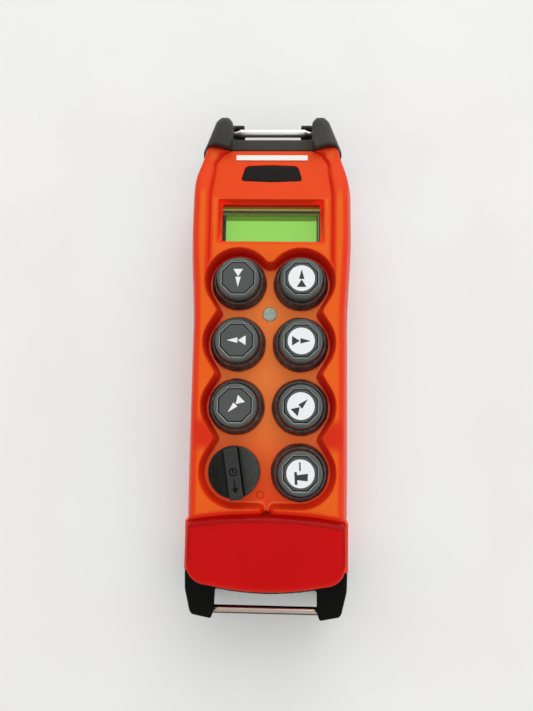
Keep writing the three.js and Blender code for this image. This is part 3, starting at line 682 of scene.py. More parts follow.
# Painted shades of the orange: on slopes, on faces that turn to the tail, and down in corners.
SHADED_ORANGE = (0.75, 0.038, 0.006)
TAIL_FACING_SHADE = (0.66, 0.017, 0.006)
CORNER_SHADE_RED = (0.46, 0.003, 0.004)
STOP_RED = linear(199, 6, 9)
MATERIALS = {
    # The shells take painted shade on slopes and in corners, and a painted glow in the corners.
    "orange_shell": plastic_with_painted_shade("orange_shell", ORANGE, SHADED_ORANGE, CORNER_SHADE_RED, tail_corner_shade=(0.8, 0.022, 0.006)),
    "red_shell": plastic_with_painted_shade(
        "red_shell", STOP_RED, tinted(STOP_RED, 0.6), CORNER_SHADE_RED, reach=3, rough=0.26, start=0.2, end=0.7,
    ),
    # A lighter copy of the black bumper plastic, painted light on the head bumper; the tail bumper has a
    # painted-shade copy.
    "black_bumper": moulded("black_bumper", linear(52, 51, 44), 0.52, 0.7, 0.05, 0.3, specular=0.25),
    "black_rubber": rubber("black_rubber", linear(31, 28, 30)),
    "grey_cap": moulded("grey_cap", linear(72, 80, 77), 0.42, 0.3, 0.008, 0.05),
    "black_legend": moulded("black_legend", linear(72, 76, 75), 0.55, 0.3, 0.01, 0.06, specular=0.4),
    "white_legend": printed("white_legend", linear(232, 236, 240)),
    "black_fitting": moulded("black_fitting", linear(30, 30, 30), 0.5, 0.4, 0.01, 0.1, specular=0.3),
    "black_knob": moulded("black_knob", linear(20, 21, 20), 0.36, 0.4, 0.008, 0.1, specular=0.45),
    "black_battery": moulded("black_battery", linear(34, 34, 36), 0.5, 0.5, 0.02, 0.1),
    "clear_window": clear_plastic(),
    "display_green": lit_panel(),
    "dark_window": moulded("dark_window", linear(20, 15, 12), 0.2, 0.6, 0.002, 0.1, specular=0.07),
    "white_label": printed("white_label", linear(234, 232, 228), 0.4, 0.02),
    "lamp_body": lens_plastic(),
    "circuit_board": circuit(),
    # The rods' sides take a darker tone as painted shade and painted reflection.
    "polished_rod": metal(
        "polished_rod", (1.0, 0.98, 0.92), 0.36,
        along=(0.06, 1, 1), sides=(0.82, 0.78, 0.7), lit_facing=(0, -0.35, 0.94),
    ),
    "plain_steel": metal("plain_steel", (0.62, 0.62, 0.6), 0.3),
    "contact_brass": metal("contact_brass", (0.82, 0.62, 0.3), 0.3),
}
# The pocket floor is painted paler than the shell, as painted light down in the pocket, and redder towards
# the tail.
KEYPAD_FLOOR_LIT = plastic_with_painted_shade(
    "keypad_floor", (1.0, 0.24, 0.05), (0.9, 0.14, 0.03), CORNER_SHADE_RED,
    reach=2.5, start=0.3, end=0.75, low=(0.98, 0.062, 0.01),
)
# A painted highlight along the floor's edge fillet, round the pocket.
FLOOR_RIM_HIGHLIGHT = plastic_with_painted_shade(
    "keypad_floor_rim_highlight", (1.0, 0.3, 0.1), (1.0, 0.2, 0.06), CORNER_SHADE_RED,
    reach=1.2, start=0.2, end=0.6, low=(1.0, 0.13, 0.03),
)
# A darker copy of the bumper plastic: painted shade on the tail bumper.
SHADED_BUMPER = moulded("shaded_bumper", linear(13, 13, 12), 0.55, 0.6, 0.02, 0.15, specular=0.06)
# The tail rod: darker, browner metal whose sides are painted near black, as painted reflection of the dark
# parts round it.
TAIL_ROD_METAL = metal(
    "tail_rod_metal", (0.54, 0.45, 0.39), 0.2,
    along=(0.06, 1, 1), sides=(0.05, 0.025, 0.018), lit_facing=(0, 0.26, 0.97),
)
# The mould mark's ring, painted dark red as painted shade.
MARK_RING_SHADE = moulded("mould_mark_shade", (0.7, 0.05, 0.008), 0.4, 0.4, 0.004, 0.03, specular=0.09)
# The display recess's wall, painted brighter red with a strong glow, as painted light.
RECESS_WALL_LIGHT = plastic_with_painted_shade(
    "recess_wall_painted_light", ORANGE, (0.85, 0.02, 0.007), (0.9, 0.01, 0.006), reach=6, start=0.1, end=0.8, corner_glow=0.8,
)
# A paler copy of the cap plastic: a painted highlight on the chamfer of each seat.
CAP_CHAMFER_HIGHLIGHT = moulded("cap_chamfer_highlight", linear(132, 140, 136), 0.35, 0.3, 0.008, 0.25, specular=0.5)
KNOB_DISC_SHEEN = knob_plastic_with_sheen()
# A lighter copy of the knob's black: painted light on the grip.
KNOB_GRIP_LIT = moulded("knob_grip_lit", linear(50, 51, 50), 0.4, 0.4, 0.008, 0.1, specular=0.15)
# Near black for the knob's engraved marks, and for painted shade in the groove beside its grip and in the
# gap round each legend plate.
MARKS_AND_GAP_SHADE = moulded("marks_and_gap_shade", linear(12, 12, 12), 0.5, 0.4, 0.004, 0.1, specular=0.05)
FRAME_WITH_GLARE = frame_with_painted_glare()
DARK_PRINT = printed("dark_print", linear(52, 55, 56), 0.5, 0.1)


# ---- front housing ----
# The keypad pocket's outline is drawn at its floor and grows by about 1.6 mm up to its rim.
LOBE_R = 13.4
NECK_X = 21.6
SIDE_NOSE_R = 2.2
HEAD_NOSE_R = 5
DRAIN = {"half_x": 1.25, "corner": 1.9}
MOULD_MARK = (-2.8, -62.0)
BUTTON_HOLE_R = 5.6
LAMP_HOLE_R = 3.35
WALL = 3.1
HOLLOW_Z = 29.5
HOLLOW_ENDS = [-63, -62, 92, 93]
DISPLAY_HOLLOW = {"half_x": 26, "y0": 48.6, "y1": 72.6, "z": 32.8}
POCKET_RINGS = [-1.1, -0.65, -0.42, -0.22, -0.05, 0.1, 0.3, 0.8, 1.25, 1.4, 1.55, 1.75, 1.95, 2.2]


def edge_y(x, clearance=0.0):
    """The arc that ends the front housing above the stop bar."""
    radius = FACE_EDGE["radius"]
    return FACE_EDGE["y"] - clearance - radius + np.sqrt(radius ** 2 - np.square(x))


def pocket_path(grow):
    """Path round the keypad pocket, from the drain's left side over the head to its right side."""
    lobe_r = LOBE_R + grow
    neck_x = NECK_X + 1.125 * grow
    nose_r = HEAD_NOSE_R - 1.25 * grow
    dx = neck_x + SIDE_NOSE_R - COLUMN_X
    span = sqrt(dx ** 2 + (PITCH / 2) ** 2)
    side = degrees(atan2(PITCH / 2, dx) - acos((lobe_r + SIDE_NOSE_R) / span))
    rise = sqrt((lobe_r + nose_r) ** 2 - COLUMN_X ** 2)
    top = degrees(atan2(rise, COLUMN_X))
    right = [arc(0, ROW_Y[0] + rise, nose_r, -90, -top, 0.8)]
    for row, y in enumerate(ROW_Y):
        start = 180 - top if row == 0 else side
        end = -90 if row == 3 else -side
        right.append(arc(COLUMN_X, y, lobe_r, start, end, 0.9))
        if row < 3:
            right.append(arc(neck_x + SIDE_NOSE_R, y - PITCH / 2, SIDE_NOSE_R, 180 - side, 180 + side, 0.5))
    corner_x = DRAIN["half_x"] + DRAIN["corner"]
    corner_y = ROW_Y[3] - LOBE_R - DRAIN["corner"]
    right.append(arc(corner_x, corner_y, DRAIN["corner"] - grow, 90, 180, 0.4))
    drain_x = DRAIN["half_x"] + grow
    right.append([(drain_x, edge_y(drain_x))])
    whole = resampled(np.vstack(right), 1.1, False)
    return np.vstack([(whole * (-1, 1))[::-1][:-1], whole])


def panel_height(y):
    """The panel between the rails, which is level up to the hood and slopes down along it."""
    return PANEL_Z + (HOOD_END_Z - PANEL_Z) * np.clip((y - HOOD_Y) / (HEAD_Y - HOOD_Y), 0, 1.1)


def face_height(x, y):
    """Height of the face where there is no pocket: the panel, the hood, and the side rails."""
    panel, rail = panel_height(y), through(RAIL_Z, y)
    across = np.abs(x) - through(RAIL_INNER_X, y)
    step = softened([(-3, 0), (-0.5, 0), (0.5, 1), (3, 1)], across, 0.3)
    step = np.maximum(step, np.clip((36 - y) / 4, 0, 1))
    crease = 0.5 * np.exp(-((across + 0.75) / 0.42) ** 2) * np.clip((y - 38) / 4, 0, 1)
    return panel + (rail - panel) * step - crease


def head_end_y(x, z):
    """Where the leaning head end with its two shoulders stands at a height."""
    rise = np.clip((z - SEAM_Z) / (SHOULDER_Z - SEAM_Z), 0, 1)
    return HEAD_Y + HEAD_SLANT * (HEAD_TOP_Z - z) + rise * through(SHOULDERS, np.abs(x))


def head_end_z(x, y):
    """Height of the head end's surface above a point of the plan."""
    knee = head_end_y(x, SHOULDER_Z)
    low = SEAM_Z + (SHOULDER_Z - SEAM_Z) * (SEAM_HEAD_Y - y) / (SEAM_HEAD_Y - knee)
    return np.where(y > knee, low, SHOULDER_Z + (knee - y) / HEAD_SLANT)


def flank(x, y, profile, soft=0.35):
    """How far up the side wall is, from 0 at the seam to 1 on the face."""
    return softened(profile, half_width(y) - np.abs(x), soft)


FRONT_FLANK = [(0, 0), (0.3, 0.27), (3.1, 0.895), (4.0, 0.966), (5.5, 1), (9, 1)]


def soft_least(a, b, blend):
    """The smaller of two heights, eased where they are nearly the same."""
    near = np.clip(blend - np.abs(a - b), 0, blend) / blend
    return np.minimum(a, b) - near ** 2 * blend / 4


def front_top(x, y):
    base = SEAM_Z + SEAM_HALF_GAP
    z = base + (face_height(x, y) - base) * flank(x, y, FRONT_FLANK)
    return np.maximum(base, soft_least(z, head_end_z(x, y), 1.6))


def edge_drop(x, y, radius=1.7):
    """How much the rounded edge above the stop bar lowers the face."""
    reach = np.hypot(x, y - FACE_EDGE["y"] + FACE_EDGE["radius"]) - FACE_EDGE["radius"]
    return radius * rounding(reach, radius)


def pocket_share(grow):
    """How far up the pocket's wall a ring is, from 0 on the floor to 1 on the face."""
    return float(softened([(-4, 0), (-0.12, 0), (1.5, 1), (5, 1)], np.float64(grow), 0.45))


def ir_outline(grow):
    """Rounded trapezoid of the infrared window."""
    corners = [(0, 88.0 + grow), (12.1 + grow, 87.5 + grow), (14.1 + grow, 79.8 - grow), (0, 79.2 - grow)]
    half = rounded_profile([*corners, (-20, 84)], [0, 2.4, 2.0, 0, 0], 6)[:-1]
    return mirrored(half)


def front_outline(side_y, head_y):
    """Outline of the front housing, whose sides run from side_y to head_y."""
    side_ys = np.linspace(side_y, head_y, 130)
    drain_xs = [DRAIN["half_x"] + grow for grow in POCKET_RINGS]
    tail_xs = np.arange(5, half_width(np.float64(side_y)) - 0.4, 1.0)
    tail_xs = np.array(sorted([*tail_xs, *drain_xs, 0.0]))
    tail = np.column_stack([tail_xs, edge_y(tail_xs)])
    side = np.column_stack([half_width(side_ys), side_ys])
    return mirrored(np.vstack([tail, side]))


def beside_pocket(x, y):
    """Guides on both sides, without the stretches of them that would lie over the pocket."""
    pocket_edge = pocket_path(POCKET_RINGS[-1] + 0.15)
    lines = []
    for line, _ in both_sides(x, y):
        clear = np.flatnonzero(~inside(pocket_edge, line))
        runs = np.split(clear, np.flatnonzero(np.diff(clear) > 1) + 1)
        lines += [(line[run], False) for run in runs if len(run) > 1]
    return lines


def front_guides(side_y, head_y):
    """Lines along the flanks, rails, head end, hood, lower edge, pocket, display recess and mark."""
    guides = []
    ys = np.linspace(side_y + 0.3, head_y, 130)
    for inset in (0.3, 1.2, 2.2, 2.9, 3.3, 3.7, 4.1, 4.6, 5.2, 5.9):
        guides += beside_pocket(half_width(ys) - inset, ys)
    rail_ys = np.linspace(36.5, 96, 60)
    for shift in (-1.5, -1.1, -0.75, -0.4, -0.15, 0.15, 0.4, 0.8):
        guides += beside_pocket(through(RAIL_INNER_X, rail_ys) + shift, rail_ys)
    end_xs = np.linspace(-34, 34, 90)
    for reach in (-0.35, -0.1, 0.08, 0.25, 0.6, 0.96, 1.4, 1.9):
        end_ys = np.minimum(HEAD_Y + through(SHOULDERS, np.abs(end_xs)) + reach, head_y - 0.1)
        guides.append((np.column_stack([end_xs, end_ys]), False))
    guides.append(([(-27.4, HOOD_Y), (27.4, HOOD_Y)], False))
    edge_xs = np.arange(5, 35, 1.0)
    for reach in (0.12, 0.35, 0.7, 1.2, 1.7):
        guides += both_sides(edge_xs, edge_y(edge_xs, -reach))
    for grow in POCKET_RINGS:
        path = pocket_path(grow)
        rim_z = front_top(*path.T)
        z = FLOOR_Z + (rim_z - FLOOR_Z) * pocket_share(grow)
        guides.append((path, False, z))
    for share, drop in ((-0.22, 0), (-0.04, 0.08), (0.05, 0.4), (0.1, 0.62)):
        guides.append((recess_loop(share), True, PANEL_Z - drop if drop else np.nan))
    for radius, lift in ((1.75, 0), (1.6, 0.16), (1.2, 0.16), (1.05, 0)):
        guides.append((circle(*MOULD_MARK, radius, 0.35), True, FLOOR_Z + lift))
    return guides


def build_front_housing():
    side_y = FACE_EDGE["y"] - 3
    for _ in range(5):  # closes in on the corner where the lower arc meets the flank
        side_y = float(edge_y(half_width(np.float64(side_y))))
    head_y = SEAM_HEAD_Y - 0.1
    holes = [circle(x, y, BUTTON_HOLE_R) for y in ROW_Y for x in (-COLUMN_X, COLUMN_X)]
    holes += [circle(0, LAMP_Y, LAMP_HOLE_R, 0.5), recess_loop(1), ir_outline(0.2)]
    holes = [resampled(hole, 1.2, True) for hole in holes]
    plan = Plan(front_outline(side_y, head_y), holes, front_guides(side_y, head_y))
    glass_rim = inside(recess_loop(0.98), plan.points)
    near_glass = inside(recess_loop(0.5), plan.points) & ~glass_rim
    on_floor = inside(pocket_path(POCKET_RINGS[0]), plan.points)
    land = SEAM_Z + SEAM_HALF_GAP

    def top(x, y):
        z = np.where(on_floor, FLOOR_Z, front_top(x, y))
        return np.where(glass_rim | near_glass, GLASS["z"], z)

    plan.height = np.where(np.isnan(plan.height), top(*plan.points.T), plan.height)
    plan.height = np.maximum(plan.height - edge_drop(*plan.points.T), land)

    def underside(x, y):
        inner = np.interp(half_width(y) - np.abs(x), [WALL, WALL + 2.5], [0, 1])
        ends = np.interp(y, HOLLOW_ENDS, [0, 1, 1, 0])
        z = land + (HOLLOW_Z - land) * np.minimum(inner, ends)
        bay = DISPLAY_HOLLOW
        under_display = (np.abs(x) < bay["half_x"]) & (y > bay["y0"]) & (y < bay["y1"])
        return np.where(under_display, bay["z"], z)

    def paint(middle):
        """Material number: 0 shell, 1 pocket floor with painted light, 2 its rim with a painted highlight,
        3 the mould mark with painted shade, 4 the recess's wall with painted light.
        """
        index = inside(pocket_path(-0.22), middle).astype(int) * 2 - inside(pocket_path(-1.1), middle)
        from_mark = np.hypot(*(middle - MOULD_MARK).T)
        index[(from_mark < 1.8) & (from_mark > 1.15)] = 3
        index[inside(recess_loop(0.06), middle) & ~inside(recess_loop(1), middle)] = 4
        return index

    obj = shell("front_housing_moulding", plan, top, underside, paint)
    materials = (MATERIALS["orange_shell"], KEYPAD_FLOOR_LIT, FLOOR_RIM_HIGHLIGHT, MARK_RING_SHADE, RECESS_WALL_LIGHT)
    stand_in(obj, "front_housing", *materials)


def recess_loop(share):
    """Display recess, from its edge on the face (0) to the edge of the glass opening (1)."""
    half_x = RECESS["half_x"] + (GLASS["half_x"] - RECESS["half_x"]) * share
    y0 = RECESS["y0"] + (GLASS["y0"] - RECESS["y0"]) * share
    y1 = RECESS["y1"] + (GLASS["y1"] - RECESS["y1"]) * share
    return rounded_box(half_x, y0, y1, 0.8)


# ---- housing of the stop bar ----
STOP_FLANK = [(0, 0), (0.3, 0.5), (0.6, 0.88), (0.9, 0.965), (1.4, 1), (9, 1)]


def stop_outline(grow, head_inset=0.0):
    """Outline of the stop bar, grown by a margin; head_inset sets its upper edge back further."""
    w = STOP["half_x"] + grow
    head_c, tail_c = STOP_CORNERS[0] + 0.3 * head_inset, STOP_CORNERS[1] + grow

    def head_y(x):
        return STOP["top_y"] + grow - head_inset - STOP["top_r"] + sqrt(STOP["top_r"] ** 2 - x * x)

    def tail_y(x):
        return STOP["bottom_y"] - grow + STOP["bottom_r"] - sqrt(STOP["bottom_r"] ** 2 - x * x)

    right = [
        [(x, head_y(x)) for x in np.arange(0, w - head_c, 1.0)],
        arc(w - head_c, head_y(w - head_c) - head_c, head_c, 76, 0, 0.4),
        arc(w - tail_c, tail_y(w - tail_c) + tail_c, tail_c, 0, -79, 0.6),
        [(x, tail_y(x)) for x in np.arange(int(w - tail_c - 1), -0.5, -1.0)],
    ]
    return resampled(mirrored(np.vstack(right)), 1.0, True)


def build_stop_housing():
    xs = np.linspace(0, 35.6, 44)
    xs[-1] = float(half_width(np.float64(-73.2)))
    head = np.column_stack([xs, edge_y(xs, 0.3)])[::-1]
    ys = np.linspace(head[0][1] - 0.4, TAIL_Y, 22)
    side = np.column_stack([half_width(ys), ys])
    outline = mirrored(np.vstack([head[::-1], side]))
    guides = []
    for inset in (0.12, 0.3, 0.6, 0.8, 1.0, 1.3, 1.6):
        guides += both_sides(half_width(ys) - inset, ys)
    for grow in (0.5, 0.6, 0.75, 0.95):
        guides.append((stop_outline(grow), True))
        guides += both_sides([STOP["half_x"] + grow] * 2, [STOP["top_y"] - 5, STOP["top_y"] - 2.6])
    holes = [circle(x, y, 3.4, 0.6) for x, y in STOP_POSTS]
    plan = Plan(outline, holes, guides, 1.3)

    def in_bay(grow):
        """The points of the plan in the bar's bay, which has no wall at its head side."""
        x, y = np.abs(plan.points.T)
        open_side = (x < STOP["half_x"] + grow) & (y < 5 - STOP["top_y"])
        return inside(stop_outline(grow), plan.points) | open_side

    bay = in_bay(0.55)
    near_bay = in_bay(0.67) & ~bay

    def top(x, y):
        base = SEAM_Z + SEAM_HALF_GAP
        z = base + (STOP_BASE_Z - base) * flank(x, y, STOP_FLANK, 0.15)
        return np.where(bay, STOP_FLOOR_Z, np.where(near_bay, z - 0.15, z))

    def underside(x, y):
        inner = np.interp(half_width(y) - np.abs(x), [WALL, WALL + 0.5], [0, 1])
        ends = np.interp(y, [-90.5, -90, -74, -73.5], [0, 1, 1, 0])
        return SEAM_Z + SEAM_HALF_GAP + 5 * np.minimum(inner, ends)

    obj = shell("stop_bar_housing_moulding", plan, top, underside)
    stand_in(obj, "stop_bar_housing", MATERIALS["orange_shell"])


# ---- rear housing ----
REAR_FLANK = [(0, 0), (0.6, 0.43), (3, 0.75), (7, 0.93), (13, 1), (40, 1)]
LATCH_RECESS = {"half_x": 9, "y0": 27.0, "y1": 37.3, "z": 3.3}
GRIP_YS = [-86 + 3.4 * k for k in range(9)]


def bay_loop(grow):
    return rounded_box(BAY["half_x"] + grow, BAY["y0"] - grow, BAY["y1"] + grow, 1.0 + max(0, grow))


def latch_loop(grow):
    x, y0, y1 = LATCH_RECESS["half_x"] + grow, LATCH_RECESS["y0"], LATCH_RECESS["y1"] + grow
    return rounded_box(x, y0, y1, 1.0)


def build_rear_housing():
    head_y = SEAM_HEAD_Y
    ys = np.linspace(TAIL_Y, head_y, 140)
    outline = mirrored(np.vstack([[(0, TAIL_Y)], np.column_stack([half_width(ys), ys]), [(0, head_y)]]))
    guides = []
    for inset in (0.3, 0.8, 1.6, 2.4, WALL, 4, 5.2, 6.5, 8, 10, 12.5):
        guides += both_sides(half_width(ys) - inset, ys)
    guides += [(bay_loop(grow), True) for grow in (0, 0.12, 0.3, 0.6)]
    guides += [(latch_loop(grow), True) for grow in (0, 0.12)]
    guides += [(circle(x, y, r, 0.5), True) for x, y in SCREWS for r in (3, 3.12, 3.5)]
    holes = [resampled(circle(x, y, 1.7, 0.5), 0.6, True) for x, y in SCREWS]
    plan = Plan(outline, holes, guides, 1.4)
    in_bay = inside(bay_loop(0.06), plan.points)
    bay_edge = inside(bay_loop(0.45), plan.points) & ~in_bay
    in_latch = inside(latch_loop(0.06), plan.points) & ~in_bay
    in_screw = near_any(SCREWS, *plan.points.T, 3.06)

    def outside(x, y):
        z = (SEAM_Z - SEAM_HALF_GAP) * (1 - flank(x, y, REAR_FLANK, 1.0))
        for y_rib in GRIP_YS:
            groove = np.exp(-((y - y_rib) / 0.75) ** 2) * np.interp(np.abs(x), [0, 13, 15], [1, 1, 0])
            z = z + 0.7 * groove
        z = np.where(bay_edge, z + 0.25, z)
        z = np.where(in_latch, LATCH_RECESS["z"], z)
        z = np.where(in_screw, 7, z)
        return np.where(in_bay, BAY["depth"], z)

    def inner(x, y):
        depth = np.minimum(
            np.interp(half_width(y) - np.abs(x), [WALL, WALL + 0.7], [0, 1]),
            np.interp(y, [TAIL_Y + 2.5, TAIL_Y + 3.2, 94.4, 95.2], [0, 1, 1, 0]),
        )
        rim = SEAM_Z - SEAM_HALF_GAP
        z = rim + (4.8 - rim) * depth
        over_bay = (np.abs(x) < BAY["half_x"] + 1.8) & (y > BAY["y0"] - 1.8) & (y < BAY["y1"] + 1.8)
        z = np.where(over_bay, BAY["depth"] + 1.8, z)
        return np.where(near_any(SCREWS, x, y, 3.8), rim, z)

    obj = shell("rear_housing_moulding", plan, inner, outside)
    stand_in(obj, "rear_housing", MATERIALS["orange_shell"])


# ---- rounded copies of CAD shapes ----
def softened_copy(node, name, voxel=0.45, rounds=6, amount=0.5):
    """The node's own shape with its edges rounded off, as a fine mesh."""
    obj = placed(name, frame["nodes"][node].data.copy())
    remesh = obj.modifiers.new("remesh", "REMESH")
    remesh.mode = "VOXEL"
    remesh.voxel_size = voxel * MM
    smooth = obj.modifiers.new("smooth", "SMOOTH")
    smooth.factor = amount
    smooth.iterations = rounds
    mesh = apply_modifiers(obj)
    mesh.name = name
    mesh.polygons.foreach_set("use_smooth", [True] * len(mesh.polygons))
    return obj


def build_bumpers():
    # The head bumper wears the lit copy of the plastic and the tail bumper the painted-shade copy.
    for node, material in (("head_bumper", MATERIALS["black_bumper"]), ("tail_bumper", SHADED_BUMPER)):
        stand_in(softened_copy(node, f"{node}_moulding"), node, material)


# ---- stop bar ----
def distance_to(loop, points):
    """Distance of each point from a closed loop."""
    nearest = np.full(len(points), np.inf)
    for a, b in zip(loop, np.roll(loop, -1, axis=0)):
        along = b - a
        share = np.clip((points - a) @ along / max(along @ along, 1e-12), 0, 1)
        nearest = np.minimum(nearest, np.linalg.norm(points - a - share[:, None] * along, axis=1))
    return nearest


def build_stop_bar():
    outline = stop_outline(0)
    side_z = STOP_TOP_Z - 2.6
    guides = [(stop_outline(-inset), True) for inset in (0.06, 0.18, 0.36, 0.6, 0.9, 1.25)]
    guides += [(stop_outline(-0.3, inset), True) for inset in (1.4, 1.9, 2.5)]
    guides += [(circle(x, y, r, 0.7), True) for x, y in STOP_POSTS for r in (2.95, 3.05)]
    guides += [(stop_outline(-2.75), True), (stop_outline(-2.9), True)]
    plan = Plan(outline, [], guides, 1.1)
    hollow = inside(stop_outline(-2.8), plan.points)
    from_edge = distance_to(outline, plan.points)

    def top(x, y):
        head_arc = STOP["top_y"] - STOP["top_r"] + np.sqrt(STOP["top_r"] ** 2 - x ** 2)
        from_head = np.clip(head_arc - y, 0, 2.4) / 2.4
        middle = (STOP["top_y"] + STOP["bottom_y"]) / 2
        crown = 1 - ((x / 34) ** 2 + ((y - middle) / 15) ** 2) / 2
        ease = 1 - from_head ** 2 * (3 - 2 * from_head)
        edge = 1.5 * rounding(from_edge, 1.1)
        return side_z + 2.25 - edge - 0.75 * ease + 0.35 * np.clip(crown, 0, 1)

    def underside(x, y):
        z = np.where(hollow, STOP_TOP_Z - STOP_SKIN, STOP_BASE_Z)
        for px, py in STOP_POSTS:
            end = 25.2 if px == 0 else 21.0
            z = np.where(np.hypot(x - px, y - py) < 3.0, end, z)
        return z

    obj = shell("stop_bar_moulding", plan, top, underside, sharp=50)
    stand_in(obj, "stop_bar", MATERIALS["red_shell"])


def sweep(name, path, radius, sides=8, at=(0, 0, 0)):
    """Closed round bar along a path of points."""
    path = np.asarray(path, float)
    verts, faces = [], []
    for i, point in enumerate(path):
        ahead = path[min(i + 1, len(path) - 1)] - path[max(i - 1, 0)]
        ahead /= np.linalg.norm(ahead)
        across = np.cross(ahead, (0, 0, 1))
        across /= np.linalg.norm(across)
        up = np.cross(across, ahead)
        for k in range(sides):
            angle = 2 * pi * k / sides
            verts.append(point + radius * (cos(angle) * across + sin(angle) * up))
    for i in range(len(path) - 1):
        for k in range(sides):
            a, b = i * sides + k, i * sides + (k + 1) % sides
            faces.append((a, b, b + sides, a + sides))
    last = (len(path) - 1) * sides
    faces.append(tuple(range(sides))[::-1])
    faces.append(tuple(last + k for k in range(sides)))
    return new_object(name, np.array(verts) + np.array(at), faces)


def build_springs():
    """The two return springs at the length they have with the bar up."""
    coil_r, wire_r, coils = 4.4, 0.45, 6
    bottom, top = STOP_FLOOR_Z + 0.3 + wire_r, STOP_TOP_Z - STOP_SKIN - 0.3 - wire_r
    turns = np.linspace(0, coils, coils * 28 + 1)
    climb = (top - bottom - 1.0) * np.clip((turns - 0.8) / (coils - 1.6), 0, 1)
    closed_ends = 0.6 * (turns.clip(0, 0.8) + turns.clip(coils - 0.8, coils) - coils + 0.8)
    helix = np.column_stack([
        coil_r * np.cos(2 * pi * turns),
        coil_r * np.sin(2 * pi * turns),
        bottom + climb + closed_ends,
    ])
    for side, (x, y) in (("left", STOP_POSTS[0]), ("right", STOP_POSTS[2])):
        node = f"stop_spring_{side}"
        obj = sweep(f"{node}_wire", helix, wire_r, at=(x, y, 0))
        stand_in(obj, node, MATERIALS["plain_steel"])
        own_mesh(obj)


# ---- push buttons ----
SEAT_FLATS = 7.6
SEAT_DEPTH = 1.15
PLATE_FLATS = 6.75
STEM_END_Z = 26.0


def octagon(half_flats, corner=0.25):
    """Octagon with slightly rounded corners, from half its width across flats."""
    reach = half_flats / cos(pi / 8)
    angles = np.radians(22.5 + 45 * np.arange(8))
    corners = np.column_stack([reach * np.cos(angles), reach * np.sin(angles)])
    return resampled(rounded_profile(corners, [corner] * 8, 3), 0.6, True)


def build_caps():
    cap_r = (box("button_cap_1")[1][0] - box("button_cap_1")[0][0]) / 2
    edge = [(0, 1.5), (0.05, 1.05), (0.18, 0.68), (0.42, 0.36), (0.78, 0.14), (1.2, 0.03), (1.5, 0)]
    guides = [level(circle(0, 0, cap_r - inset, 0.6), CAP_TOP_Z - drop) for inset, drop in edge[1:]]
    chamfer = [(-0.1, 0), (0, 0.03), (0.42, 0.36), (0.47, 0.46), (0.5, SEAT_DEPTH)]
    guides += [level(octagon(SEAT_FLATS - inset), CAP_TOP_Z - drop) for inset, drop in chamfer]
    guides += [(circle(0, 0, r, 0.5), True) for r in (2.95, 3.05)]
    plan = Plan(circle(0, 0, cap_r, 0.6), [], guides, 1.0)
    seat_area = inside(octagon(SEAT_FLATS - 0.51), plan.points)
    rim = np.hypot(*plan.points.T) > cap_r - 0.02
    plan.height[rim] = CAP_TOP_Z - edge[0][1]
    top = np.where(seat_area, CAP_TOP_Z - SEAT_DEPTH, CAP_TOP_Z)

    def underside(x, y):
        return np.where(np.hypot(x, y) < 3.0, STEM_END_Z, CAP_BASE_Z)

    def paint(middle):
        # The chamfer takes a painted highlight, and the seat floor round the plate a painted shade.
        on_chamfer = inside(octagon(SEAT_FLATS - 0.02), middle).astype(int)
        return on_chamfer + inside(octagon(SEAT_FLATS - 0.44), middle)

    first = shell("cap", plan, top, underside, paint, sharp=30)
    wear(first, MATERIALS["grey_cap"], CAP_CHAMFER_HIGHLIGHT, MARKS_AND_GAP_SHADE)
    for node in BUTTON_NODES:
        obj = placed(f"{node}_moulding", first.data)
        obj.location = Vector((*centre(node)[:2], 0)) * MM
        stand_in(obj, node)
    bpy.data.objects.remove(first)


def turned_shape(shape, degrees_from_x):
    """The shape's polygons, turned about the middle."""
    angle = radians(degrees_from_x)
    turn = np.array([(cos(angle), sin(angle)), (-sin(angle), cos(angle))])
    return [np.array(polygon) @ turn for polygon in shape]


# Double arrow that points along +X, and a horn, both in millimetres from the plate's middle.
ARROWS = [[(-4.0, -2.15), (-0.6, 0), (-4.0, 2.15)], [(-0.4, -1.2), (4.2, 0), (-0.4, 1.2)]]
HORN = [
    [(-0.65, 4.7), (0.0, 4.7), (0.15, 1.1), (-0.5, 1.1)],
    [
        (-2.6, 0.7), (-1.55, 0.7), (-1.35, -0.55), (3.1, 0.1),
        (3.0, -3.0), (-1.3, -2.6), (-1.2, -4.5), (-2.3, -4.5),
    ],
]
PRINT_DISC_R = 5.83
SYMBOLS = [(ARROWS, -90), (ARROWS, 90), (ARROWS, 180), (ARROWS, 0), (ARROWS, -134), (ARROWS, 45), (HORN, 0)]


def build_legends():
    for number, (shape, turn) in enumerate(SYMBOLS, 1):
        node = f"button_legend_{number}"
        low, high = box(node)
        white = SUBPARTS[node]["material_slot"] == "white_legend"
        polygons = [resampled(p, 0.7, True) for p in turned_shape(shape, turn)]
        disc = circle(0, 0, PRINT_DISC_R, 0.5)
        guides = [(p, True) for p in polygons] + ([(disc, True)] if white else [])
        guides += [level(octagon(PLATE_FLATS - d), high[2] - drop) for d, drop in ((0.1, 0.06), (0.3, 0))]
        plan = Plan(octagon(PLATE_FLATS), [], guides, 0.9)
        rim = ~inside(octagon(PLATE_FLATS - 0.02), plan.points)
        plan.height[rim] = high[2] - 0.22

        def paint(middle):
            ink = np.zeros(len(middle), int)
            if white:
                ink[inside(disc, middle)] = 1
            for polygon in polygons:
                ink[inside(polygon, middle)] = 2 if white else 1
            return ink

        obj = shell(f"{node}_plate", plan, high[2], low[2], paint)
        obj.location = Vector((*centre(node)[:2], 0)) * MM
        stand_in(obj, node, MATERIALS["black_legend"], MATERIALS["white_legend"], DARK_PRINT)


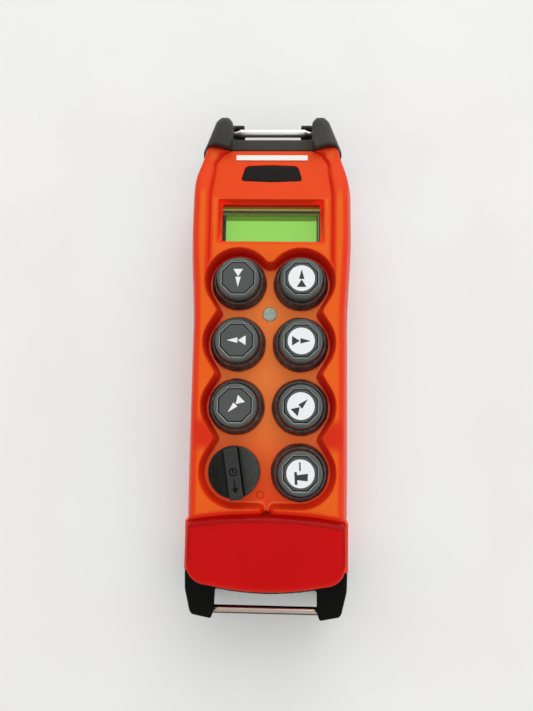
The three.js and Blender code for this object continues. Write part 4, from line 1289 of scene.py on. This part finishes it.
def build_boots():
    low, high = box("button_boot_1")
    z0, z1 = low[2], high[2]
    corners = [
        (9.82, z0), (12.4, z0), (12.42, z0 + 0.9), (11.75, z0 + 2.4), (11.2, z0 + 3.3), (11.05, z1 - 0.5),
        (10.75, z1), (10.0, z1), (9.82, z1 - 0.6),
    ]
    radii = [0, 0.4, 0.7, 0.8, 0.8, 0.5, 0.3, 0.3, 0.3]
    profile = resampled(rounded_profile(corners, radii, 4), 0.5, True)
    for number, node in enumerate(BUTTON_NODES, 1):
        boot = f"button_boot_{number}"

        def wrinkled(verts, seed=number):
            angle = np.arctan2(verts[:, 1], verts[:, 0])
            height = (verts[:, 2] - z0) / (z1 - z0)
            wave = 0.0
            for k, (lobes, climb) in enumerate(((7, 3.0), (11, -4.0), (17, 6.0), (29, -9.0))):
                wave = wave + np.sin(lobes * angle + climb * height + seed * 1.7 + k) / (k + 1.5)
            outer = np.clip((np.hypot(verts[:, 0], verts[:, 1]) - 10.9) / 0.6, 0, 1)
            fade = np.clip(4 * height, 0, 1) * np.clip(1.25 - height, 0, 1)
            scale = 1 + 0.011 * wave * outer * fade
            return verts * np.column_stack([scale, scale, np.ones(len(verts))])

        x, y, _ = centre(node)
        obj = lathe(f"{boot}_skirt", profile, (x, y, 0), 160, wrinkled)
        stand_in(obj, boot, MATERIALS["black_rubber"])
        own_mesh(obj)


# ---- rotary knob ----
def build_knob():
    disc_r, disc_z, grip_z = 11.0, 39.3, box("rotary_knob")[1][2]
    half_w, head, tail = 2.9, 10.0, 11.25
    meet = sqrt(disc_r ** 2 - half_w ** 2)
    start = degrees(atan2(half_w, meet))
    side = arc(0, 0, disc_r, 90, -90 + start, 0.6)
    end = [(half_w, -tail + 0.5), (half_w - 0.5, -tail), (0, -tail)]
    outline = resampled(mirrored(np.vstack([side, end])), 0.6, True)
    wall = half_w + 0.25
    guides = []
    for inset in (0.1, 0.3, 0.7, 1.1):
        guides += both_sides(*arc(0, 0, disc_r - inset, 90 if inset < 1 else 72, -90 + start + 3, 0.6).T)
    for x in (half_w - 0.55, half_w - 0.3, half_w - 0.08, half_w, wall, wall + 0.3):
        guides += both_sides([x, x], [-tail + 0.02, head])
    for inset in (0.1, 0.35, 0.7):
        for y in (inset - tail, head - inset):
            guides.append(([(-half_w + 0.1, y), (half_w - 0.1, y)], False))
    for y in (head, head + 0.12):
        guides.append(([(-half_w, y), (half_w, y)], False))
    ring = [circle(0, 0.2, r, 0.25) for r in (1.75, 1.65, 1.3, 1.2)]
    tick = [rounded_box(0.22, -0.2, 1.2, 0.1), rounded_box(0.3, -0.3, 1.3, 0.1)]
    shaft, barb_y, tip_y = [(-0.25, -3.2), (0.25, -3.2)], -6.4, -8.6
    point = [(0.25, barb_y), (1.3, barb_y), (0, tip_y), (-1.3, barb_y), (-0.25, barb_y)]
    arrow = resampled([*shaft, *point], 0.4, True)
    guides += [(loop, True) for loop in [*ring, *tick, arrow]]
    plan = Plan(outline, [], guides, 0.8)
    engraved = inside(ring[1], plan.points) & ~inside(ring[2] * 0.98, plan.points)
    engraved |= inside(tick[0] * 1.02, plan.points) | inside(arrow, plan.points)

    def top(x, y):
        r = np.hypot(x, y)
        disc = disc_z - 0.1 * (np.abs(x) - half_w).clip(0) - 0.9 * rounding(disc_r - r, 1.1)
        across, along = rounding(half_w - np.abs(x), 0.55), rounding(np.minimum(head - y, y + tail), 0.7)
        grip = grip_z - 0.5 * across - 0.7 * along
        groove = 0.35 * np.exp(-((np.abs(x) - wall - 0.1) / 0.25) ** 2) * (y < head)
        z = np.where((np.abs(x) <= half_w + 0.01) & (y <= head + 0.01), grip, disc - groove)
        return np.where(engraved, z - 0.3, z)

    def paint(middle):
        x, y = middle.T
        # The engraved marks are filled dark, and the groove beside the grip is painted dark as painted
        # shade; the grip takes a lighter copy, as painted light.
        dark = inside(ring[1], middle) & ~inside(ring[2], middle)
        dark |= inside(tick[0], middle) | inside(arrow, middle)
        dark |= (np.abs(np.abs(x) - wall - 0.05) < 0.25) & (y < head)
        return np.where(dark, 2, (np.abs(x) < half_w) & (y < head))

    def underside(x, y):
        return np.where(np.hypot(x, y) < 2.4, STEM_END_Z, np.where(np.abs(y) > disc_r, 36.0, 32.8))

    obj = shell("rotary_knob_moulding", plan, top, underside, paint, sharp=32)
    obj.location = Vector((*KNOB, 0)) * MM
    obj.rotation_euler = (0, 0, radians(KNOB_TURN))
    stand_in(obj, "rotary_knob", KNOB_DISC_SHEEN, KNOB_GRIP_LIT, MARKS_AND_GAP_SHADE)


# ---- display, lamp, window and label ----
def build_display():
    low, high = box("display_window")
    edge = 0.2
    insets = [edge * share for share in (0.3, 0.65, 1.0)]
    guides = [level(inset_box(low, high, d, 1.2), high[2] - edge * rounding(d, edge)) for d in insets]
    plan = Plan(inset_box(low, high, 0, 1.2), [], guides, 1.5)
    plan.height[~inside(inset_box(low, high, edge * 0.1, 1.2), plan.points)] = high[2] - edge
    window = shell("display_window_pane", plan, high[2], low[2])
    stand_in(window, "display_window", MATERIALS["clear_window"])
    low, high = box("display_frame")

    def opening(grow):
        return rounded_box(LCD["half_x"] + grow, LCD["y0"] - grow, LCD["y1"] + grow, 0.5 + grow / 5)

    guides = [(opening(grow), True) for grow in (0.15, 0.5)]
    plan = Plan(inset_box(low, high, 0, 0.8), [opening(0)], guides, 1.5)
    near_hole = inside(opening(0.1), plan.points)
    top = np.where(near_hole, high[2] - 0.4, high[2])
    stand_in(shell("display_frame_surround", plan, top, low[2]), "display_frame", FRAME_WITH_GLARE)


def build_face_trim():
    guides = [(ir_outline(-d), True) for d in (0.12, 0.35, 0.8)]
    plan = Plan(ir_outline(0), [], guides, 0.9)
    rim = ~inside(ir_outline(-0.05), plan.points)

    def crown(x, y):
        dome = 0.12 * (1 - (x / 13) ** 2).clip(0) * (1 - ((y - 83.4) / 4.6) ** 2).clip(0)
        return panel_height(y) - 0.12 + dome - 0.15 * rim

    window = shell("infrared_window_pane", plan, crown, box("infrared_window")[0][2])
    stand_in(window, "infrared_window", MATERIALS["dark_window"])

    low, high = box("label_plate")
    plan = Plan(inset_box(low, high, 0, 0.35), [], [(inset_box(low, high, 0.15, 0.3), True)], 0.9)
    hood_z = panel_height(plan.points[:, 1])
    label = shell("label_plate_print", plan, hood_z + 0.32, hood_z + 0.15)
    stand_in(label, "label_plate", MATERIALS["white_label"])

    low, high = box("lamp_lens")
    lens_r, stem_r, brim_z, rise = 3.15, 1.8, 28.8, 0.55
    dome = [(lens_r * cos(a), high[2] - rise + rise * sin(a)) for a in np.linspace(0, 1.52, 9)]
    stem = [(0.02, low[2]), (stem_r, low[2]), (stem_r, brim_z), (lens_r, brim_z)]
    lens = lathe("lamp_lens_dome", [*stem, *dome, (0.02, high[2])], (0, LAMP_Y, 0), 64)
    stand_in(lens, "lamp_lens", MATERIALS["lamp_body"])


# ---- rods, screws and battery ----
def build_rods():
    for node in ("head_rod", "tail_rod"):
        low, high = box(node)
        length, radius = high[0] - low[0], (high[2] - low[2]) / 2
        half = length / 2
        if node == "head_rod":
            neck_r, body_x, neck_x = HEAD_ROD["neck_r"], HEAD_ROD["body_x"], HEAD_ROD["neck_x"]
            shoulder = [(radius - 0.1, -body_x - 0.2), (radius, -body_x)]
            end = [(0.02, -half), (neck_r, -half), (neck_r, -neck_x), *shoulder]
        else:
            end = [(0.02, -half), (0.7, -half), (1.35, -half + 0.4), (radius, -half + 1.5)]
        profile = [*end, (radius, 0), *((r, -x) for r, x in end[::-1])]
        _, y, z = (low + high) / 2
        obj = lathe(f"{node}_bar", profile, (0, y, z), 48, axis="x")
        # The tail rod's metal has sides painted near black as painted reflection.
        stand_in(obj, node, MATERIALS["polished_rod"] if node == "head_rod" else TAIL_ROD_METAL)


def brick(middle, size, turn=0):
    """Mesh of a box about its middle, turned about Z."""
    mesh = bpy.data.meshes.new("brick")
    work = bmesh.new()
    place = Matrix.Translation(Vector(middle) * MM) @ Matrix.Rotation(radians(turn), 4, "Z")
    bmesh.ops.create_cube(work, size=1, matrix=place @ Matrix.Diagonal((*(Vector(size) * MM), 1)))
    work.to_mesh(mesh)
    work.free()
    return mesh


def cut_with(obj, cutter_mesh, operation="DIFFERENCE"):
    """Cuts a mesh out of an object, or joins it on, and keeps the result as plain mesh."""
    tool = placed("tool", cutter_mesh)
    change = obj.modifiers.new("cut", "BOOLEAN")
    change.operation, change.solver, change.object = operation, "EXACT", tool
    bpy.context.view_layer.update()
    apply_modifiers(obj).set_sharp_from_angle(angle=radians(38))
    bpy.data.objects.remove(tool)


def build_screws():
    """Pan-head screws with a cross recess, heads down."""
    shank = [(1.32, 6.6), (1.35, 24.5), (0.9, 26), (0.02, 26)]
    head = [(0.02, 4.45), (1.9, 4.45), (2.45, 4.75), (2.6, 5.2), (2.6, 6.6)]
    for number, (x, y) in enumerate(SCREWS, 1):
        obj = lathe(f"housing_screw_{number}_turned", [*head, *shank], (x, y, 0), 40)
        for turn in (20, 110):
            cut_with(obj, brick((x, y, 4.7), (3.0, 0.7, 2.0), turn))
        stand_in(obj, f"housing_screw_{number}", MATERIALS["plain_steel"])


def build_battery():
    low, high = box("battery_pack")
    ridge_ys = [low[1] + 18 + 2.6 * k for k in range(8)]
    label = rounded_box(17, -14, 18, 1.2)
    label_in = rounded_box(16.8, -13.8, 17.8, 1.1)
    guides = [(inset_box(low, high, d, 1.2 - d / 2), True) for d in (0.2, 0.5, 1.0)]
    thumb = rounded_box(7, low[1] + 1.2, low[1] + 5, 0.8)
    thumb_floor = rounded_box(6.85, low[1] + 1.35, low[1] + 4.85, 0.7)
    guides += [(loop, True) for loop in (label, label_in, thumb, thumb_floor)]
    guides += [([(-7, high[1] - inset), (7, high[1] - inset)], False) for inset in (1.6, 1.75)]
    plan = Plan(inset_box(low, high, 0, 1.2), [], guides, 1.0)
    in_label, in_thumb = inside(label_in, plan.points), inside(thumb, plan.points)
    in_ledge = (np.abs(plan.points[:, 0]) < 7) & (plan.points[:, 1] > high[1] - 1.65)

    def under(x, y):
        edge = np.minimum(high[0] - np.abs(x), np.minimum(y - low[1], high[1] - y))
        z = low[2] + 0.6 * rounding(edge, 1)
        for ridge in ridge_ys:
            z = z + 0.5 * np.exp(-((y - ridge) / 0.5) ** 2) * (np.abs(x) < 15)
        z = np.where(in_label, low[2] + 0.35, z)
        z = np.where(in_thumb, 1.8, z)
        return np.where(in_ledge, 1.9, z)

    stand_in(shell("battery_pack_case", plan, high[2], under), "battery_pack", MATERIALS["black_battery"])


def build_battery_latch():
    low, high = box("battery_latch")
    bar_y0 = BAY["y1"] + 0.3
    outline, *guides = (inset_box((0, bar_y0), high, d, 0.6) for d in (0, 0.2, 0.5))
    plan = Plan(outline, [], [(guide, True) for guide in guides], 0.5)

    def grooved(x, y):
        edge = np.minimum(high[0] - np.abs(x), np.minimum(y - bar_y0, high[1] - y))
        z = low[2] + 0.4 * rounding(edge, 0.5)
        for k in (-1, 0, 1):
            z = z + 0.35 * np.exp(-((y - (bar_y0 + high[1]) / 2 - 1.4 * k) / 0.35) ** 2) * (np.abs(x) < 6.5)
        return z

    obj = shell("battery_latch_slider", plan, high[2], grooved)
    cut_with(obj, brick((0, BAY["y1"] - 0.2, 1.15), (12, 2.4, 1.1)), "UNION")
    stand_in(obj, "battery_latch", MATERIALS["black_fitting"])


# ---- camera, light and floor ----
CAMERA_LENS = 27.03
CAMERA_PLACE = (5.52, -38.98, 268.5)
CAMERA_TILT = (("X", 9.07), ("Y", 1.60), ("Z", 0.70))
FLOOR_HALF = 4  # metres, unlike the rest


def make_camera():
    data = bpy.data.cameras.new("camera")
    data.lens = CAMERA_LENS
    data.sensor_width = 36.0
    data.clip_start, data.clip_end = 0.01, 20
    camera = placed("camera", data)
    camera.location = Vector(CAMERA_PLACE) * MM
    tilt = [Matrix.Rotation(radians(angle), 3, axis) for axis, angle in CAMERA_TILT]
    camera.rotation_euler = (tilt[0] @ tilt[1] @ tilt[2]).to_euler()
    bpy.context.scene.camera = camera


def make_light():
    """A soft box over the head end, and a sky that is brighter low down and on the head's side."""
    data = bpy.data.lights.new("key", "AREA")
    data.size = 1.2
    data.energy = 6.0
    lamp = placed("key", data)
    lamp.location = (0.3, 1.3, 0.9)
    lamp.rotation_euler = (-lamp.location).to_track_quat("-Z", "Y").to_euler()
    world = bpy.data.worlds.new("studio")
    world.use_nodes = True
    sky = Nodes(world.node_tree, "Generated")
    strength = sky.between(sky.axis("Z"), 1.15, 0.8, 0.2, 0.95)
    for axis, share in (("X", 0.12), ("Y", 0.22)):
        strength = sky.math("MULTIPLY_ADD", sky.axis(axis), share, strength)
    background = sky.tree.nodes["Background"]
    background.inputs["Color"].default_value = (1, 1, 0.985, 1)
    sky.tree.links.new(strength, background.inputs["Strength"])
    bpy.context.scene.world = world
    bpy.context.scene.view_settings.view_transform = "Standard"


def make_floor():
    """Pale paper, painted lighter and cooler beside the object's flanks as painted light, cancelling its
    shadow and the orange light it throws there.
    """
    mesh = bpy.data.meshes.new("floor")
    corners = [(-1, -1), (1, -1), (1, 1), (-1, 1)]
    mesh.from_pydata([(x * FLOOR_HALF, y * FLOOR_HALF, 0) for x, y in corners], [], [(0, 1, 2, 3)])
    s = Shader("paper", Specular_IOR_Level=0.2)
    paper = s.shades(s.noise(60, 3), (0.3, (0.81, 0.81, 0.80)), (0.7, (0.84, 0.84, 0.83)))
    place = s.node("ShaderNodeVectorMath", {0: s.coordinates}, operation="ABSOLUTE").outputs[0]
    beside = s.between(s.axis("X", place), 1.0, 0.0, 0.038, 0.11)
    along = s.between(s.axis("Y", place), 1.0, 0.0, 0.08, 0.12)
    # Painted light beside the flanks.
    s.colour(s.mixed(s.math("MULTIPLY", beside, along), paper, (0.85, 0.96, 0.97)))
    s.roughness(0.7, 0.85, 4, 3)
    s.bumps((s.noise(0.6, 3), 0.02))
    floor = placed("floor", mesh)
    wear(floor, s.material)


def dress_cad_nodes():
    """CAD nodes that stay as they are get their slot's material."""
    for node, obj in frame["nodes"].items():
        wear(obj, MATERIALS[SUBPARTS[node]["material_slot"]])


dress_cad_nodes()
build_front_housing()
build_stop_housing()
build_rear_housing()
build_bumpers()
build_stop_bar()
build_springs()
build_caps()
build_legends()
build_boots()
build_knob()
build_display()
build_face_trim()
build_rods()
build_screws()
build_battery()
build_battery_latch()
make_camera()
make_light()
make_floor()
